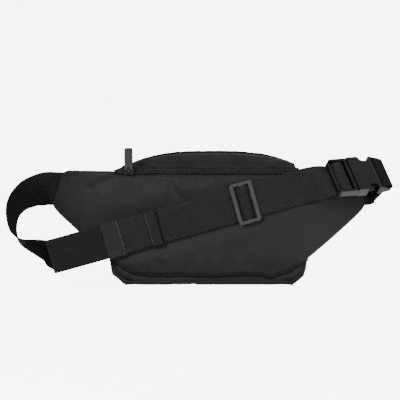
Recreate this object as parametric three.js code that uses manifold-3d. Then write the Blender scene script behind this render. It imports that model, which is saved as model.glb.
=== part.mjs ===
// A waist pack standing on its base, seen from the side that lies against the wearer.
// Millimetres. X runs along the belt, Z is up, and -Y points from the padded back panel to the wearer.
// The model is built with the back panel's outer face at y = 0, and the whole pack is then moved by
// BASE_MIDDLE, so that the origin is the middle of the base.

import * as THREE from "three";
import { mergeVertices } from "three/addons/utils/BufferGeometryUtils.js";
import Module from "manifold-3d";

const wasm = await Module();
wasm.setup();

// ---------------------------------------------------------------- driving dimensions
const GAP = 0.3; // between pieces that touch
const BASE_MIDDLE = 40; // from the back panel's face to the middle of the base

const WING_TIP = 174.8; // half the width over both wings
const WING_TOP = 128.3;
const WING_BEND_FROM = 110; // beyond this the wings curve round towards the front
const WING_BEND = 0.0062; // mm of curve per mm squared
const PANEL_LOW = 12.5; // lowest edge of the back panel
const OUTER_FABRIC = 1.2;
const FOAM = 2.5;
const INNER_FABRIC = 1.2;
const FOAM_Y = OUTER_FABRIC + GAP;
const INNER_Y = FOAM_Y + FOAM + GAP;

const BODY_BACK = INNER_Y + INNER_FABRIC + GAP; // where the body's sides start
const TOP_BACK = 0.8; // where the top starts, just behind the zip
const BODY_FRONT = 68; // where the body's sides meet the piping
const BODY_HALF = 112; // half the body's greatest width
const BASE_HALF = 93; // half the width of the flat base
const BASE_ROUND = 11; // the base curves up to the back panel over this depth
const TOP_HALF = 98; // half the width of the arched top
const TOP_EDGE = 129;
const TOP_RISE = 18;
const TOP_SHIFT = 4; // the stuffed top leans a little to one side
const SHELL = 1.4; // thickness of the body's fabric
const PIPING_R = 1.5;
const DOME = 9; // how far the front panel bulges
const POCKET_HALF = 86;
const POCKET_TOP = 91.5;
const POCKET_LOW = 13;
const POCKET_BULGE = 6.5;

const ZIP_HEIGHT = 128.1; // middle of the back zip
const ZIP_PANEL_EDGE = 124.3; // the panel's edge under the zip
const TAPE_HALF = 3.5; // half the visible width of a closed zip
const CHAIN_HALF = 2;
const FRONT_ZIP_HEIGHT = 95.2;

const WEB = 38; // webbing width
const WEB_T = 1.5; // webbing thickness
const LAYER = WEB_T + GAP; // pitch of stacked webbing
const KEEPER_T = 1;

const STRAP_START = new THREE.Vector3(-175.7, 0, 32.8); // the strap's fold, on the panel's face
const STRAP_ANGLE = THREE.MathUtils.degToRad(15.8);
const UNDER_N = GAP + KEEPER_T + GAP + WEB_T / 2; // height of the bottom layer's middle over the panel
const TOP_N = UNDER_N + LAYER;
const TAIL_N = TOP_N + LAYER;
const HEM_N = TAIL_N + LAYER;
const UNDER_FROM = 27; // along the strap: where the bottom layer leaves the side loop
const TAIL_END = 124.6;
const HEM = 12;
const KEEPER_AT = 72.4;
const GLIDE_AT = 224;
const STRAP_FLAT_TO = 285.5; // beyond this the strap rises and twists to the buckle

const BUCKLE_AT = new THREE.Vector3(134.3, -14.2, 121); // middle of the frame's outer edge
const BUCKLE_YAW = THREE.MathUtils.degToRad(23);
const BUCKLE_PITCH = THREE.MathUtils.degToRad(2.7);
const BUCKLE_ROLL = THREE.MathUtils.degToRad(-41);
const MALE_LENGTH = 24;
const BUCKLE_HALF = 22.6;
const BUCKLE_THICK = 4.5; // half the frame's thickness
const FEMALE_THICK = 6;
const SLOT_HALF = 19.7;

// ---------------------------------------------------------------- materials
const finish = (color, roughness, metalness = 0) =>
  new THREE.MeshStandardMaterial({ color, roughness, metalness });
const FABRIC = finish(0x2b2b2c, 0.75);
const WEBBING = finish(0x242425, 0.8);
const ELASTIC = finish(0x303031, 0.85);
const PLASTIC = finish(0x1c1c1d, 0.35);
const ZIP_TAPE = finish(0x1e1e1f, 0.85);
const ZIP_COIL = finish(0x222223, 0.5);
const METAL = finish(0x1a1a1b, 0.3, 0.8);
const RUBBER = finish(0x353536, 0.6);
const PADDING = finish(0x9a9a96, 0.95);

// ---------------------------------------------------------------- helpers
const v3 = (x, y, z) => new THREE.Vector3(x, y, z);
const mix = (a, b, t) => a + (b - a) * t;

// The height at x of an outline given by its corners, mirrored about x = 0.
function heightAt(corners, x) {
  const r = Math.abs(x);
  for (let i = 1; i < corners.length; i++) {
    const [x0, z0] = corners[i - 1];
    const [x1, z1] = corners[i];
    if (r <= x1) return mix(z0, z1, (r - x0) / (x1 - x0));
  }
  return corners[corners.length - 1][1];
}

// Columns from -end to end that pass through every corner of the outlines, no wider apart than step.
function columns(end, step, ...outlines) {
  const knots = [0, end, ...outlines.flat().map((c) => c[0])].filter((x) => x <= end);
  const sorted = [...new Set(knots)].sort((a, b) => a - b);
  const half = [];
  for (let i = 1; i < sorted.length; i++) {
    const parts = Math.max(1, Math.ceil((sorted[i] - sorted[i - 1]) / step));
    for (let k = 0; k < parts; k++) half.push(mix(sorted[i - 1], sorted[i], k / parts));
  }
  half.push(end);
  return [...half.slice(1).reverse().map((x) => -x), ...half];
}

// A closed mesh, turned inside out if its faces point inwards.
function indexed(points, faces) {
  const geometry = new THREE.BufferGeometry().setFromPoints(points).setIndex(faces);
  let volume = 0;
  for (let i = 0; i < faces.length; i += 3) {
    const [a, b, c] = [points[faces[i]], points[faces[i + 1]], points[faces[i + 2]]];
    volume += a.dot(b.clone().cross(c));
  }
  if (volume < 0) geometry.setIndex([...faces].reverse());
  return geometry;
}

// A closed solid between two grids of points of the same size.
function slab(face, back) {
  const rows = face.length;
  const cols = face[0].length;
  const at = (i, j, side) => side * rows * cols + i * cols + j;
  const faces = [];
  const quad = (a, b, c, d) => faces.push(a, b, c, a, c, d);
  for (let i = 0; i + 1 < rows; i++) {
    for (let j = 0; j + 1 < cols; j++) {
      quad(at(i, j, 0), at(i + 1, j, 0), at(i + 1, j + 1, 0), at(i, j + 1, 0));
      quad(at(i, j, 1), at(i, j + 1, 1), at(i + 1, j + 1, 1), at(i + 1, j, 1));
    }
    quad(at(i, 0, 1), at(i + 1, 0, 1), at(i + 1, 0, 0), at(i, 0, 0));
    quad(at(i, cols - 1, 0), at(i + 1, cols - 1, 0), at(i + 1, cols - 1, 1), at(i, cols - 1, 1));
  }
  for (let j = 0; j + 1 < cols; j++) {
    quad(at(0, j, 0), at(0, j + 1, 0), at(0, j + 1, 1), at(0, j, 1));
    quad(at(rows - 1, j, 1), at(rows - 1, j + 1, 1), at(rows - 1, j + 1, 0), at(rows - 1, j, 0));
  }
  return indexed([...face.flat(), ...back.flat()], faces);
}

// The grid moved along its own normals, towards the inside point.
function thickened(grid, distance, inside) {
  const last = (list) => list.length - 1;
  return grid.map((row, i) =>
    row.map((p, j) => {
      const up = grid[Math.min(i + 1, last(grid))][j].clone().sub(grid[Math.max(i - 1, 0)][j]);
      const along = row[Math.min(j + 1, last(row))].clone().sub(row[Math.max(j - 1, 0)]);
      const normal = up.cross(along).normalize();
      if (normal.dot(inside.clone().sub(p)) < 0) normal.negate();
      return p.clone().addScaledVector(normal, distance);
    }),
  );
}

// A closed solid through rings of points, each ring convex and of the same count.
function loft(rings, closed = false) {
  const n = rings[0].length;
  const faces = [];
  const count = closed ? rings.length : rings.length - 1;
  for (let i = 0; i < count; i++) {
    const next = (i + 1) % rings.length;
    for (let k = 0; k < n; k++) {
      const m = (k + 1) % n;
      faces.push(i * n + k, next * n + k, next * n + m, i * n + k, next * n + m, i * n + m);
    }
  }
  if (!closed) {
    const end = (rings.length - 1) * n;
    for (let k = 1; k + 1 < n; k++) faces.push(0, k, k + 1, end, end + k + 1, end + k);
  }
  return indexed(rings.flat(), faces);
}

// Webbing along frames of { p, w }: the middle line and the direction across the width.
function ribbon(frames, width, thickness) {
  return loft(
    frames.map(({ p, w, narrow = 1 }, i) => {
      const before = frames[Math.max(i - 1, 0)].p;
      const after = frames[Math.min(i + 1, frames.length - 1)].p;
      const along = after.clone().sub(before).normalize();
      const across = w.clone().addScaledVector(along, -w.dot(along)).normalize();
      const normal = along.cross(across).multiplyScalar(thickness / 2);
      across.multiplyScalar((width * narrow) / 2);
      return [
        p.clone().add(across).add(normal),
        p.clone().add(across).sub(normal),
        p.clone().sub(across).sub(normal),
        p.clone().sub(across).add(normal),
      ];
    }),
  );
}

// Frames along a smooth curve through the control frames.
function smooth(controls, steps) {
  const line = new THREE.CatmullRomCurve3(controls.map((c) => c.p));
  const turn = new THREE.CatmullRomCurve3(controls.map((c) => c.w));
  const frames = [];
  for (let i = 0; i <= steps; i++) {
    const t = i / steps;
    frames.push({ p: line.getPoint(t), w: turn.getPoint(t).normalize() });
  }
  return frames;
}

// A flat shape drawn in (x, z), as thick as y runs from low to high.
function plate(shape, low, high, curveSegments = 6) {
  const geometry = new THREE.ExtrudeGeometry(shape, {
    depth: high - low,
    bevelEnabled: false,
    curveSegments,
  });
  return geometry.rotateX(Math.PI / 2).translate(0, high, 0);
}

const block = (x0, x1, y0, y1, z0, z1) =>
  new THREE.BoxGeometry(x1 - x0, y1 - y0, z1 - z0).translate((x0 + x1) / 2, (y0 + y1) / 2, (z0 + z1) / 2);

function solid(geometry) {
  const bare = geometry.clone();
  bare.deleteAttribute("normal");
  bare.deleteAttribute("uv");
  const merged = mergeVertices(bare, 1e-4);
  return new wasm.Manifold(
    new wasm.Mesh({
      numProp: 3,
      vertProperties: merged.attributes.position.array,
      triVerts: new Uint32Array(merged.index.array),
    }),
  );
}

// The first solid with others joined to it and then others cut away.
function shaped(first, { add = [], cut = [] }) {
  let result = solid(first);
  for (const piece of add) result = result.add(solid(piece));
  for (const piece of cut) result = result.subtract(solid(piece));
  const mesh = result.getMesh();
  return new THREE.BufferGeometry()
    .setAttribute("position", new THREE.BufferAttribute(mesh.vertProperties, 3))
    .setIndex(new THREE.BufferAttribute(mesh.triVerts, 1));
}

function rectangle(x0, x1, z0, z1, round = 0) {
  const path = new THREE.Shape();
  if (!round) {
    path.moveTo(x0, z0).lineTo(x1, z0).lineTo(x1, z1).lineTo(x0, z1);
    return path;
  }
  path.absarc(x1 - round, z0 + round, round, -Math.PI / 2, 0);
  path.absarc(x1 - round, z1 - round, round, 0, Math.PI / 2);
  path.absarc(x0 + round, z1 - round, round, Math.PI / 2, Math.PI);
  path.absarc(x0 + round, z0 + round, round, Math.PI, 1.5 * Math.PI);
  return path;
}

const pack = new THREE.Group();
pack.position.y = -BASE_MIDDLE;

function add(name, geometry, material, parent = pack) {
  const mesh = new THREE.Mesh(geometry, material);
  mesh.name = name;
  parent.add(mesh);
  return mesh;
}

// ---------------------------------------------------------------- back panel and wings
// Corners of the right half, as [x, z]. The upper edge drops under the zip.
const PANEL_UPPER = [
  [0, ZIP_PANEL_EDGE], [100, ZIP_PANEL_EDGE], [105, WING_TOP], [156, WING_TOP],
  [161, 126.8], [164, 123.5], [173.9, 93.5], [WING_TIP, 90],
];
const PANEL_LOWER = [
  [0, PANEL_LOW], [58, PANEL_LOW], [76, 15.6], [94, 22.2], [110, 31],
  [167.3, 78.9], [172.3, 84], [WING_TIP, 88],
];

const wingBend = (x) => WING_BEND * Math.max(0, Math.abs(x) - WING_BEND_FROM) ** 2;

// The back panel's outline, drawn in by inset all round, filled from depth to depth + thickness.
function panelLayer(end, inset, depth, thickness, rows) {
  const grid = (y) =>
    columns(end, 17, PANEL_UPPER, PANEL_LOWER).map((x) => {
      const low = heightAt(PANEL_LOWER, x) + inset;
      const high = heightAt(PANEL_UPPER, x) - inset;
      const column = [];
      for (let j = 0; j <= rows; j++) column.push(v3(x, y + wingBend(x), mix(low, high, j / rows)));
      return column;
    });
  return slab(grid(depth), grid(depth + thickness));
}

add("back_panel", panelLayer(WING_TIP, 0, 0, OUTER_FABRIC, 4), FABRIC);
add("back_foam_pad", panelLayer(140, 6, FOAM_Y, FOAM, 2), PADDING);
add("back_panel_inner", panelLayer(WING_TIP, 0.4, INNER_Y, INNER_FABRIC, 4), FABRIC);

// ---------------------------------------------------------------- body: sides, base, top and front
const archAt = (x) => TOP_EDGE + TOP_RISE * (1 - Math.min(1, Math.abs((x - TOP_SHIFT) / TOP_HALF)) ** 3);

// Outline of the front, as the height of its upper and lower edge at x.
const FRONT_UPPER_SIDE = [[TOP_HALF, TOP_EDGE], [104, 122], [109.5, 106], [BODY_HALF - 0.5, 90]];
const FRONT_LOWER = [
  [0, 0], [60, 0], [BASE_HALF, 0], [106, 12], [110.5, 40], [BODY_HALF - 0.5, 64],
];
function frontUpper(x) {
  if (Math.abs(x) > TOP_HALF) return heightAt(FRONT_UPPER_SIDE, x);
  return Math.max(archAt(x), TOP_EDGE);
}
const frontLower = (x) => heightAt(FRONT_LOWER, x);

// Where the sides and base start on the back panel, and where they end at the front, as [x, z] pairs.
const SIDE_BACK = [
  [101.5, 130.2], [106, 105], [107, 75], [107, 47], [103, 29.5], [85, 19.5], [58, 14], [0, 14],
];
const SIDE_FRONT = [
  [101, 124.8], [109.5, 106], [BODY_HALF, 76], [110.5, 40], [106, 12], [BASE_HALF, 0], [60, 0], [0, 0],
];
const DEPTHS = [0, 0.03, 0.08, 0.18, 0.4, 0.7, 1];
const INSIDE = v3(0, 38, 72);

// Quarter-round start, then straight: 0 at the back panel, 1 from BASE_ROUND on.
const rounded = (y) => Math.sqrt(1 - Math.max(0, 1 - (y - BODY_BACK) / BASE_ROUND) ** 2);

function mirrored(half) {
  return [...half.map(([x, z]) => [-x, z]), ...half.slice(0, -1).reverse()];
}

function sideGrid() {
  const back = new THREE.SplineCurve(mirrored(SIDE_BACK).map(([x, z]) => new THREE.Vector2(x, z)));
  const front = mirrored(SIDE_FRONT).map(([x, z]) => new THREE.Vector2(x, z));
  const perSpan = 3;
  const spans = front.length - 1;
  return Array.from({ length: spans * perSpan + 1 }, (_, i) => {
    const span = Math.min(Math.floor(i / perSpan), spans - 1);
    const from = back.getPoint(i / (spans * perSpan));
    const to = front[span].clone().lerp(front[span + 1], i / perSpan - span);
    return DEPTHS.map((v) => {
      const y = mix(BODY_BACK, BODY_FRONT, v);
      const s = rounded(y);
      return v3(mix(from.x, to.x, s), y, mix(from.y, to.y, s));
    });
  });
}

const TOP_END = 100.2; // half the length of the top between the sides
function topGrid() {
  const count = 22;
  return Array.from({ length: count + 1 }, (_, i) => {
    const x = mix(-1, 1, i / count) * TOP_END;
    const edge = ZIP_HEIGHT + TAPE_HALF + GAP + SHELL;
    return DEPTHS.map((v) => {
      const rise = 1 - (1 - v) ** 1.8;
      return v3(x, mix(TOP_BACK, BODY_FRONT, v), mix(edge, frontUpper(x) + 0.5, rise));
    });
  });
}

const sides = sideGrid();
const top = topGrid();
add("side_and_base_gusset", slab(sides, thickened(sides, SHELL, INSIDE)), FABRIC);
add("top_gusset", slab(top, thickened(top, SHELL, INSIDE)), FABRIC);

const frontDome = (x, z) =>
  DOME * (1 - Math.abs(x / BODY_HALF) ** 6) * (1 - Math.abs((z - 72) / 78) ** 4);

function frontPiping() {
  const xs = columns(BODY_HALF - 0.5, 14, FRONT_UPPER_SIDE, FRONT_LOWER);
  const loop = [
    ...xs.map((x) => v3(x, 0, frontUpper(x))),
    ...xs.reverse().map((x) => v3(x, 0, frontLower(x) + PIPING_R)),
  ];
  const sidesOfTube = 6;
  const rings = loop.map((p, i) => {
    const before = loop[(i + loop.length - 1) % loop.length];
    const after = loop[(i + 1) % loop.length];
    const along = after.clone().sub(before).normalize();
    const out = v3(along.z, 0, -along.x);
    return Array.from({ length: sidesOfTube }, (_, k) => {
      const turn = (k / sidesOfTube) * 2 * Math.PI;
      return p.clone()
        .addScaledVector(out, PIPING_R * Math.cos(turn))
        .add(v3(0, BODY_FRONT + GAP + PIPING_R + PIPING_R * Math.sin(turn), 0));
    });
  });
  return loft(rings, true);
}
add("front_piping", frontPiping(), FABRIC);

const FRONT_Y = BODY_FRONT + 2 * PIPING_R + 2 * GAP; // the front panel's sewn edge, on the piping

function frontPanel() {
  const rows = 8;
  const grid = (lift) =>
    columns(BODY_HALF - 0.5, 12, FRONT_UPPER_SIDE, FRONT_LOWER).map((x) => {
      const column = [];
      for (let j = 0; j <= rows; j++) {
        const z = mix(frontLower(x) + PIPING_R, frontUpper(x), j / rows);
        column.push(v3(x, FRONT_Y + lift + frontDome(x, z), z));
      }
      return column;
    });
  return slab(grid(0), grid(SHELL));
}
add("front_panel", frontPanel(), FABRIC);

const frontFace = (x, z) => FRONT_Y + SHELL + frontDome(x, z);

// A patch pocket on the front, flat round its edge and full in the middle.
const POCKET_CORNERS = [[0, POCKET_LOW], [62, POCKET_LOW], [78, 19], [POCKET_HALF, 34]];
function pocketPanel() {
  const rows = 7;
  const grid = (lift) =>
    columns(POCKET_HALF, 13, POCKET_CORNERS).map((x) => {
      const low = heightAt(POCKET_CORNERS, x);
      const column = [];
      for (let j = 0; j <= rows; j++) {
        const z = mix(low, POCKET_TOP, j / rows);
        const fill = (1 - Math.abs(x / POCKET_HALF) ** 4) * (1 - Math.abs(mix(-1, 1, j / rows)) ** 2.5);
        column.push(v3(x, frontFace(x, z) + 0.5 + lift + POCKET_BULGE * fill, z));
      }
      return column;
    });
  return slab(grid(0), grid(OUTER_FABRIC));
}
add("front_pocket_panel", pocketPanel(), FABRIC);

// ---------------------------------------------------------------- zips
// Each is drawn with its chain along local X and its visible side to local -Y.
const SLIDER = { length: 11, half: 3.6, plateLow: -2.4, plateHigh: -0.9, wall: 1.1 };
const BAIL_R = 3;
const BAIL_T = 0.7; // half its wire
const RING_R = 3.4;
const RING_T = 0.6; // half its wire
const RING_Y = SLIDER.plateLow - 1.1 - RING_R; // the hinge line of the puller
const PULLER = { width: 10.2, length: 26, thick: 2.2, hole: 1.3 };

function pullerTab(hangsDown) {
  const shape = rectangle(-PULLER.width / 2, PULLER.width / 2, 1, PULLER.length, 1.6);
  const hole = new THREE.Path();
  hole.absarc(0, RING_R + 0.1, PULLER.hole, 0, 2 * Math.PI);
  shape.holes.push(hole);
  const tab = plate(shape, -PULLER.thick / 2, PULLER.thick / 2, 5);
  if (hangsDown) tab.rotateX(Math.PI);
  return tab.translate(0, RING_Y, 0);
}

function sliderBody() {
  const { length, half, plateLow, plateHigh, wall } = SLIDER;
  const x = length / 2;
  const flangeTo = 1.1;
  const bail = new THREE.TorusGeometry(BAIL_R, BAIL_T, 8, 20).translate(0, plateLow, 0);
  return shaped(plate(rectangle(-x, x, -half, half, 1.4), plateLow, plateHigh), {
    add: [
      block(-x + 1.4, x - 1.4, plateHigh - 0.5, flangeTo, half - wall, half),
      block(-x + 1.4, x - 1.4, plateHigh - 0.5, flangeTo, -half, wall - half),
      shaped(bail, { cut: [block(-5, 5, plateHigh - 0.5, 5, -5, 5)] }),
    ],
  });
}

function zip(name, { from, to, sliderAt, pullerDown }, place) {
  const group = new THREE.Group();
  place(group);
  pack.add(group);
  const tape = { low: 1.5, high: 2.1 };
  const chain = { low: -0.5, high: tape.low - GAP };
  const seam = 0.2; // each tape's edge stops this far from the zip's middle line
  add(`${name}_tape_lower`, block(from, to, tape.low, tape.high, -TAPE_HALF, -seam), ZIP_TAPE, group);
  add(`${name}_tape_upper`, block(from, to, tape.low, tape.high, seam, TAPE_HALF), ZIP_TAPE, group);
  const coil = block(from + 4, to - 4, chain.low, chain.high, -CHAIN_HALF, CHAIN_HALF);
  add(`${name}_chain`, coil, ZIP_COIL, group);
  for (const [end, x] of [["start", from + 2.4], ["end", to - 2.4]]) {
    const stop = block(x - 1.2, x + 1.2, chain.low - 0.4, chain.high, -2.6, 2.6);
    add(`${name}_stop_${end}`, stop, METAL, group);
  }
  add(`${name}_slider`, sliderBody(), METAL, group).position.x = sliderAt;
  const ring = new THREE.TorusGeometry(RING_R, RING_T, 8, 20).rotateY(Math.PI / 2).translate(0, RING_Y, 0);
  add(`${name}_puller_ring`, ring, METAL, group).position.x = sliderAt;
  add(`${name}_puller`, pullerTab(pullerDown), RUBBER, group).position.x = sliderAt;
}

zip("back_zip", { from: -100, to: 99, sliderAt: -88.5, pullerDown: false }, (group) => {
  group.position.z = ZIP_HEIGHT;
});
const FRONT_ZIP_HALF = 74;
zip("front_zip", { from: -FRONT_ZIP_HALF, to: FRONT_ZIP_HALF, sliderAt: -62, pullerDown: true }, (group) => {
  group.position.set(0, frontFace(0, FRONT_ZIP_HEIGHT) + 2.1 + GAP, FRONT_ZIP_HEIGHT);
  group.rotation.z = Math.PI;
});

// ---------------------------------------------------------------- frames of the strap and the buckle
// Strap frame: local X along the strap, local -Y off the panel, local Z across the strap.
const strapFrame = new THREE.Group();
strapFrame.position.copy(STRAP_START);
strapFrame.rotation.y = -STRAP_ANGLE;
pack.add(strapFrame);

// Buckle frame: local X from the frame end to the webbing loop, local -Y out of its face, local Z across.
const buckle = new THREE.Group();
buckle.position.copy(BUCKLE_AT);
buckle.rotation.set(BUCKLE_ROLL, -BUCKLE_PITCH, BUCKLE_YAW, "ZYX");
pack.add(buckle);

strapFrame.updateMatrix();
buckle.updateMatrix();

// The middle line's point and the width direction of webbing, "out" above the group's own middle plane.
function frameIn(group, along, out) {
  const p = v3(along, -out, 0).applyMatrix4(group.matrix);
  const w = v3(0, 0, 1).transformDirection(group.matrix);
  return { p, w };
}
const onPanel = (along, out) => frameIn(strapFrame, along, out);
const inBuckle = (along, out) => frameIn(buckle, along, out);

// From a flat stretch to the buckle: a Bezier between the two frames, leaving out both ends.
function rise(from, to, flatAlong, buckleAlong) {
  const reach = 15;
  const steps = 8;
  const curve = new THREE.CubicBezierCurve3(
    from.p,
    from.p.clone().addScaledVector(flatAlong, reach),
    to.p.clone().addScaledVector(buckleAlong, -reach),
    to.p,
  );
  const frames = [];
  for (let i = 1; i < steps; i++) {
    frames.push({ p: curve.getPoint(i / steps), w: from.w.clone().lerp(to.w, i / steps).normalize() });
  }
  return frames;
}

// A half-turn of webbing between two layers, LAYER apart.
function fold(at, lowN, direction) {
  const steps = 6;
  const frames = [];
  for (let i = 0; i <= steps; i++) {
    const turn = (i / steps) * Math.PI;
    const along = at + direction * (LAYER / 2) * Math.sin(turn);
    frames.push(onPanel(along, lowN + (LAYER / 2) * (1 - Math.cos(turn))));
  }
  return frames;
}

// ---------------------------------------------------------------- webbing
// Bottom layer to the buckle, round its middle bar, back as the top layer, folded into the tail and its hem.
function waistStrap() {
  const flat = v3(1, 0, 0).transformDirection(strapFrame.matrix);
  const leaning = v3(1, 0, 0).transformDirection(buckle.matrix).lerp(flat, 0.5).normalize();
  const underEnd = onPanel(STRAP_FLAT_TO, UNDER_N);
  const topEnd = onPanel(STRAP_FLAT_TO, TOP_N);
  const underBar = [[0, -5.5], [7, -5.6], [13, -5.4]];
  const roundBar = [
    [16.2, -4.6], [18.1, -2.6], [18.3, -0.2], [17.2, 1.9], [15, 3], [12.3, 3.3],
    [9.6, 3], [7.5, 1.9], [6.4, 0], [5.7, -1.8], [4.2, -3],
  ];
  const outBar = [[1.5, -3.4]];
  const wrap = [...underBar, ...roundBar, ...outBar].map(([along, out]) => inBuckle(along, out));
  const frames = [
    onPanel(UNDER_FROM, UNDER_N),
    onPanel(150, UNDER_N),
    underEnd,
    ...rise(underEnd, wrap[0], flat, leaning),
    ...wrap,
    ...rise(topEnd, wrap[wrap.length - 1], flat, leaning).reverse(),
    topEnd,
    onPanel(150, TOP_N),
    ...fold(LAYER / 2, TOP_N, -1),
    onPanel(60, TAIL_N),
    ...fold(TAIL_END - LAYER / 2, TAIL_N, 1),
    onPanel(TAIL_END - HEM, HEM_N),
  ];
  return ribbon(frames, WEB, WEB_T);
}
add("waist_strap", waistStrap(), WEBBING);

// The stretch sewn between the two layers of a wing, tapered to fit its end.
const WING_WEB_TO = 178.6;
function inWing(x) {
  const narrow = Math.abs(x) < 160 ? 0.9 : 1;
  return { p: v3(x, (OUTER_FABRIC + INNER_Y) / 2 + wingBend(x), 107), w: v3(0, 0, 1), narrow };
}
const wingStretch = (side) => [150, 155, 160, 165, 170].map((x) => inWing(side * x));

// Side loop, from inside the left wing round and down to the bottom layer: middle line, then width direction.
const LOOP = [
  [[-186, 27.5, 106.2], [0, 0.34, 0.94]],
  [[-200.2, 18.5, 101.4], [-0.26, 0.57, 0.78]],
  [[-211.8, 12, 91], [-0.38, 0.74, 0.55]],
  [[-217.4, 7, 76.8], [-0.39, 0.88, 0.26]],
  [[-216.3, 4, 61.3], [-0.33, 0.93, 0.09]],
  [[-208.5, 4.5, 49.5], [-0.15, 0.98, 0.1]],
  [[-191.2, 7, 42.8], [0, 0.93, 0.36]],
  [[-177.3, 9.5, 37.6], [-0.2, 0.72, 0.65]],
  [[-164.6, 5.5, 35.9], [-0.26, 0.36, 0.9]],
];
function strapLoop() {
  const controls = [
    inWing(-WING_WEB_TO),
    ...LOOP.map(([p, w]) => ({ p: v3(...p), w: v3(...w).normalize() })),
    onPanel(UNDER_FROM - 6, UNDER_N),
  ];
  const end = onPanel(UNDER_FROM - GAP, UNDER_N);
  return ribbon([...wingStretch(-1), ...smooth(controls, 60), end], WEB, WEB_T);
}
add("strap_loop", strapLoop(), WEBBING);

// Short webbing from inside the right wing, round the buckle's end bar and back on itself.
function anchorWebbing() {
  const controls = [
    inWing(WING_WEB_TO),
    ...[
      [60.5, -5], [64.6, -4], [67.4, -2.4], [68.5, 0], [67.5, 2.4], [64.4, 3.8],
      [60.4, 3.7], [57.6, 2.2], [56.5, -0.2], [56, -2.6],
    ].map(([along, out]) => inBuckle(along, out)),
  ];
  return ribbon([...wingStretch(1), ...smooth(controls, 56)], WEB, WEB_T);
}
add("anchor_webbing", anchorWebbing(), WEBBING);

// ---------------------------------------------------------------- pieces on the strap
function keeperBand() {
  const half = WEB / 2 + 0.5;
  const low = GAP;
  const high = TAIL_N + WEB_T / 2 + GAP + KEEPER_T;
  const outer = rectangle(low, high, -half - KEEPER_T, half + KEEPER_T, 1.4);
  outer.holes.push(rectangle(low + KEEPER_T, high - KEEPER_T, -half, half, 0.5));
  const width = 18.8;
  return new THREE.ExtrudeGeometry(outer, { depth: width, bevelEnabled: false, curveSegments: 3 })
    .applyMatrix4(new THREE.Matrix4().makeBasis(v3(0, -1, 0), v3(0, 0, 1), v3(-1, 0, 0)))
    .translate(width / 2, 0, 0);
}
add("strap_keeper", keeperBand(), ELASTIC, strapFrame).position.x = KEEPER_AT;

// Three bars side by side. The middle one carries the webbing hump.
const GLIDE = { half: 12.7, height: 23.1, bar: 4.2, middle: 4, thick: 3 };
const GLIDE_LOW = TOP_N + WEB_T / 2 + GAP;
function triGlide() {
  const { half, height, bar, middle, thick } = GLIDE;
  const frame = rectangle(-half, half, -height, height, 3.2);
  frame.holes.push(rectangle(bar - half, -middle / 2, -SLOT_HALF, SLOT_HALF, 1.2));
  frame.holes.push(rectangle(middle / 2, half - bar, -SLOT_HALF, SLOT_HALF, 1.2));
  return plate(frame, -GLIDE_LOW - thick, -GLIDE_LOW, 4);
}
add("tri_glide", triGlide(), PLASTIC, strapFrame).position.x = GLIDE_AT;

function glideHump() {
  const low = GLIDE_LOW + 0.8;
  const high = GLIDE_LOW + GLIDE.thick + GAP + 0.9;
  const shift = -0.5;
  const arch = [[-4.6, low], [-4.3, low + 1.6], [-3.2, high - 0.5], [-1.5, high], [1.5, high],
    [3.4, high - 0.6], [4.6, low + 1.6], [5, low]];
  const frames = arch.map(([x, out]) => ({ p: v3(x + shift, -out, 0), w: v3(0, 0, 1) }));
  return ribbon(frames, WEB - 0.4, 1.2);
}
add("glide_webbing_hump", glideHump(), WEBBING, strapFrame).position.x = GLIDE_AT;

// ---------------------------------------------------------------- buckle
// Frame half: a webbing bar at its outer edge, another sunk in its opening, and a guide tongue.
function maleFrame() {
  const outline = new THREE.Shape();
  const corner = 6;
  const flat = BUCKLE_HALF - 5;
  outline.moveTo(0, flat).quadraticCurveTo(0.4, BUCKLE_HALF, corner, BUCKLE_HALF);
  outline.lineTo(MALE_LENGTH, BUCKLE_HALF).lineTo(MALE_LENGTH, -BUCKLE_HALF).lineTo(corner, -BUCKLE_HALF);
  outline.quadraticCurveTo(0.4, -BUCKLE_HALF, 0, -flat);
  const bar = 3.4;
  const body = 19.9;
  outline.holes.push(rectangle(bar, body, -SLOT_HALF, SLOT_HALF, 1));
  const guideEnd = 50;
  return shaped(plate(outline, -BUCKLE_THICK, BUCKLE_THICK), {
    add: [
      block(9.9, 14.9, -1.4, 1.4, -SLOT_HALF - 0.5, SLOT_HALF + 0.5),
      plate(rectangle(body + 2, guideEnd, -3.6, 3.6, 1.6), -1.8, 1.8),
    ],
    cut: [
      block(-1, bar + 0.1, 2, 6, -SLOT_HALF, SLOT_HALF),
      block(-1, bar + 0.1, -6, -2.6, -SLOT_HALF, SLOT_HALF),
    ],
  });
}
add("buckle_frame", maleFrame(), PLASTIC, buckle);

// A springy arm with its finger pad, drawn for the upper side.
const PRONG_ROOT = { x: MALE_LENGTH + 0.8, z: 17.8 };
function prong(side) {
  const shape = new THREE.Shape();
  const arm = 2.2;
  const catchAt = 39;
  shape.moveTo(PRONG_ROOT.x, PRONG_ROOT.z - arm / 2).lineTo(48, 13.6).quadraticCurveTo(49.9, 14.4, 49.2, 16);
  shape.quadraticCurveTo(48, 17.6, 46, 18.3).quadraticCurveTo(42, 19, catchAt, 21.4);
  shape.lineTo(catchAt, PRONG_ROOT.z + arm / 2).lineTo(PRONG_ROOT.x, PRONG_ROOT.z + arm / 2);
  const geometry = plate(shape, -3.3, 3.3, 4);
  return side > 0 ? geometry : geometry.rotateX(Math.PI);
}
add("buckle_prong_upper", prong(1), PLASTIC, buckle);
add("buckle_prong_lower", prong(-1), PLASTIC, buckle);

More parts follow.
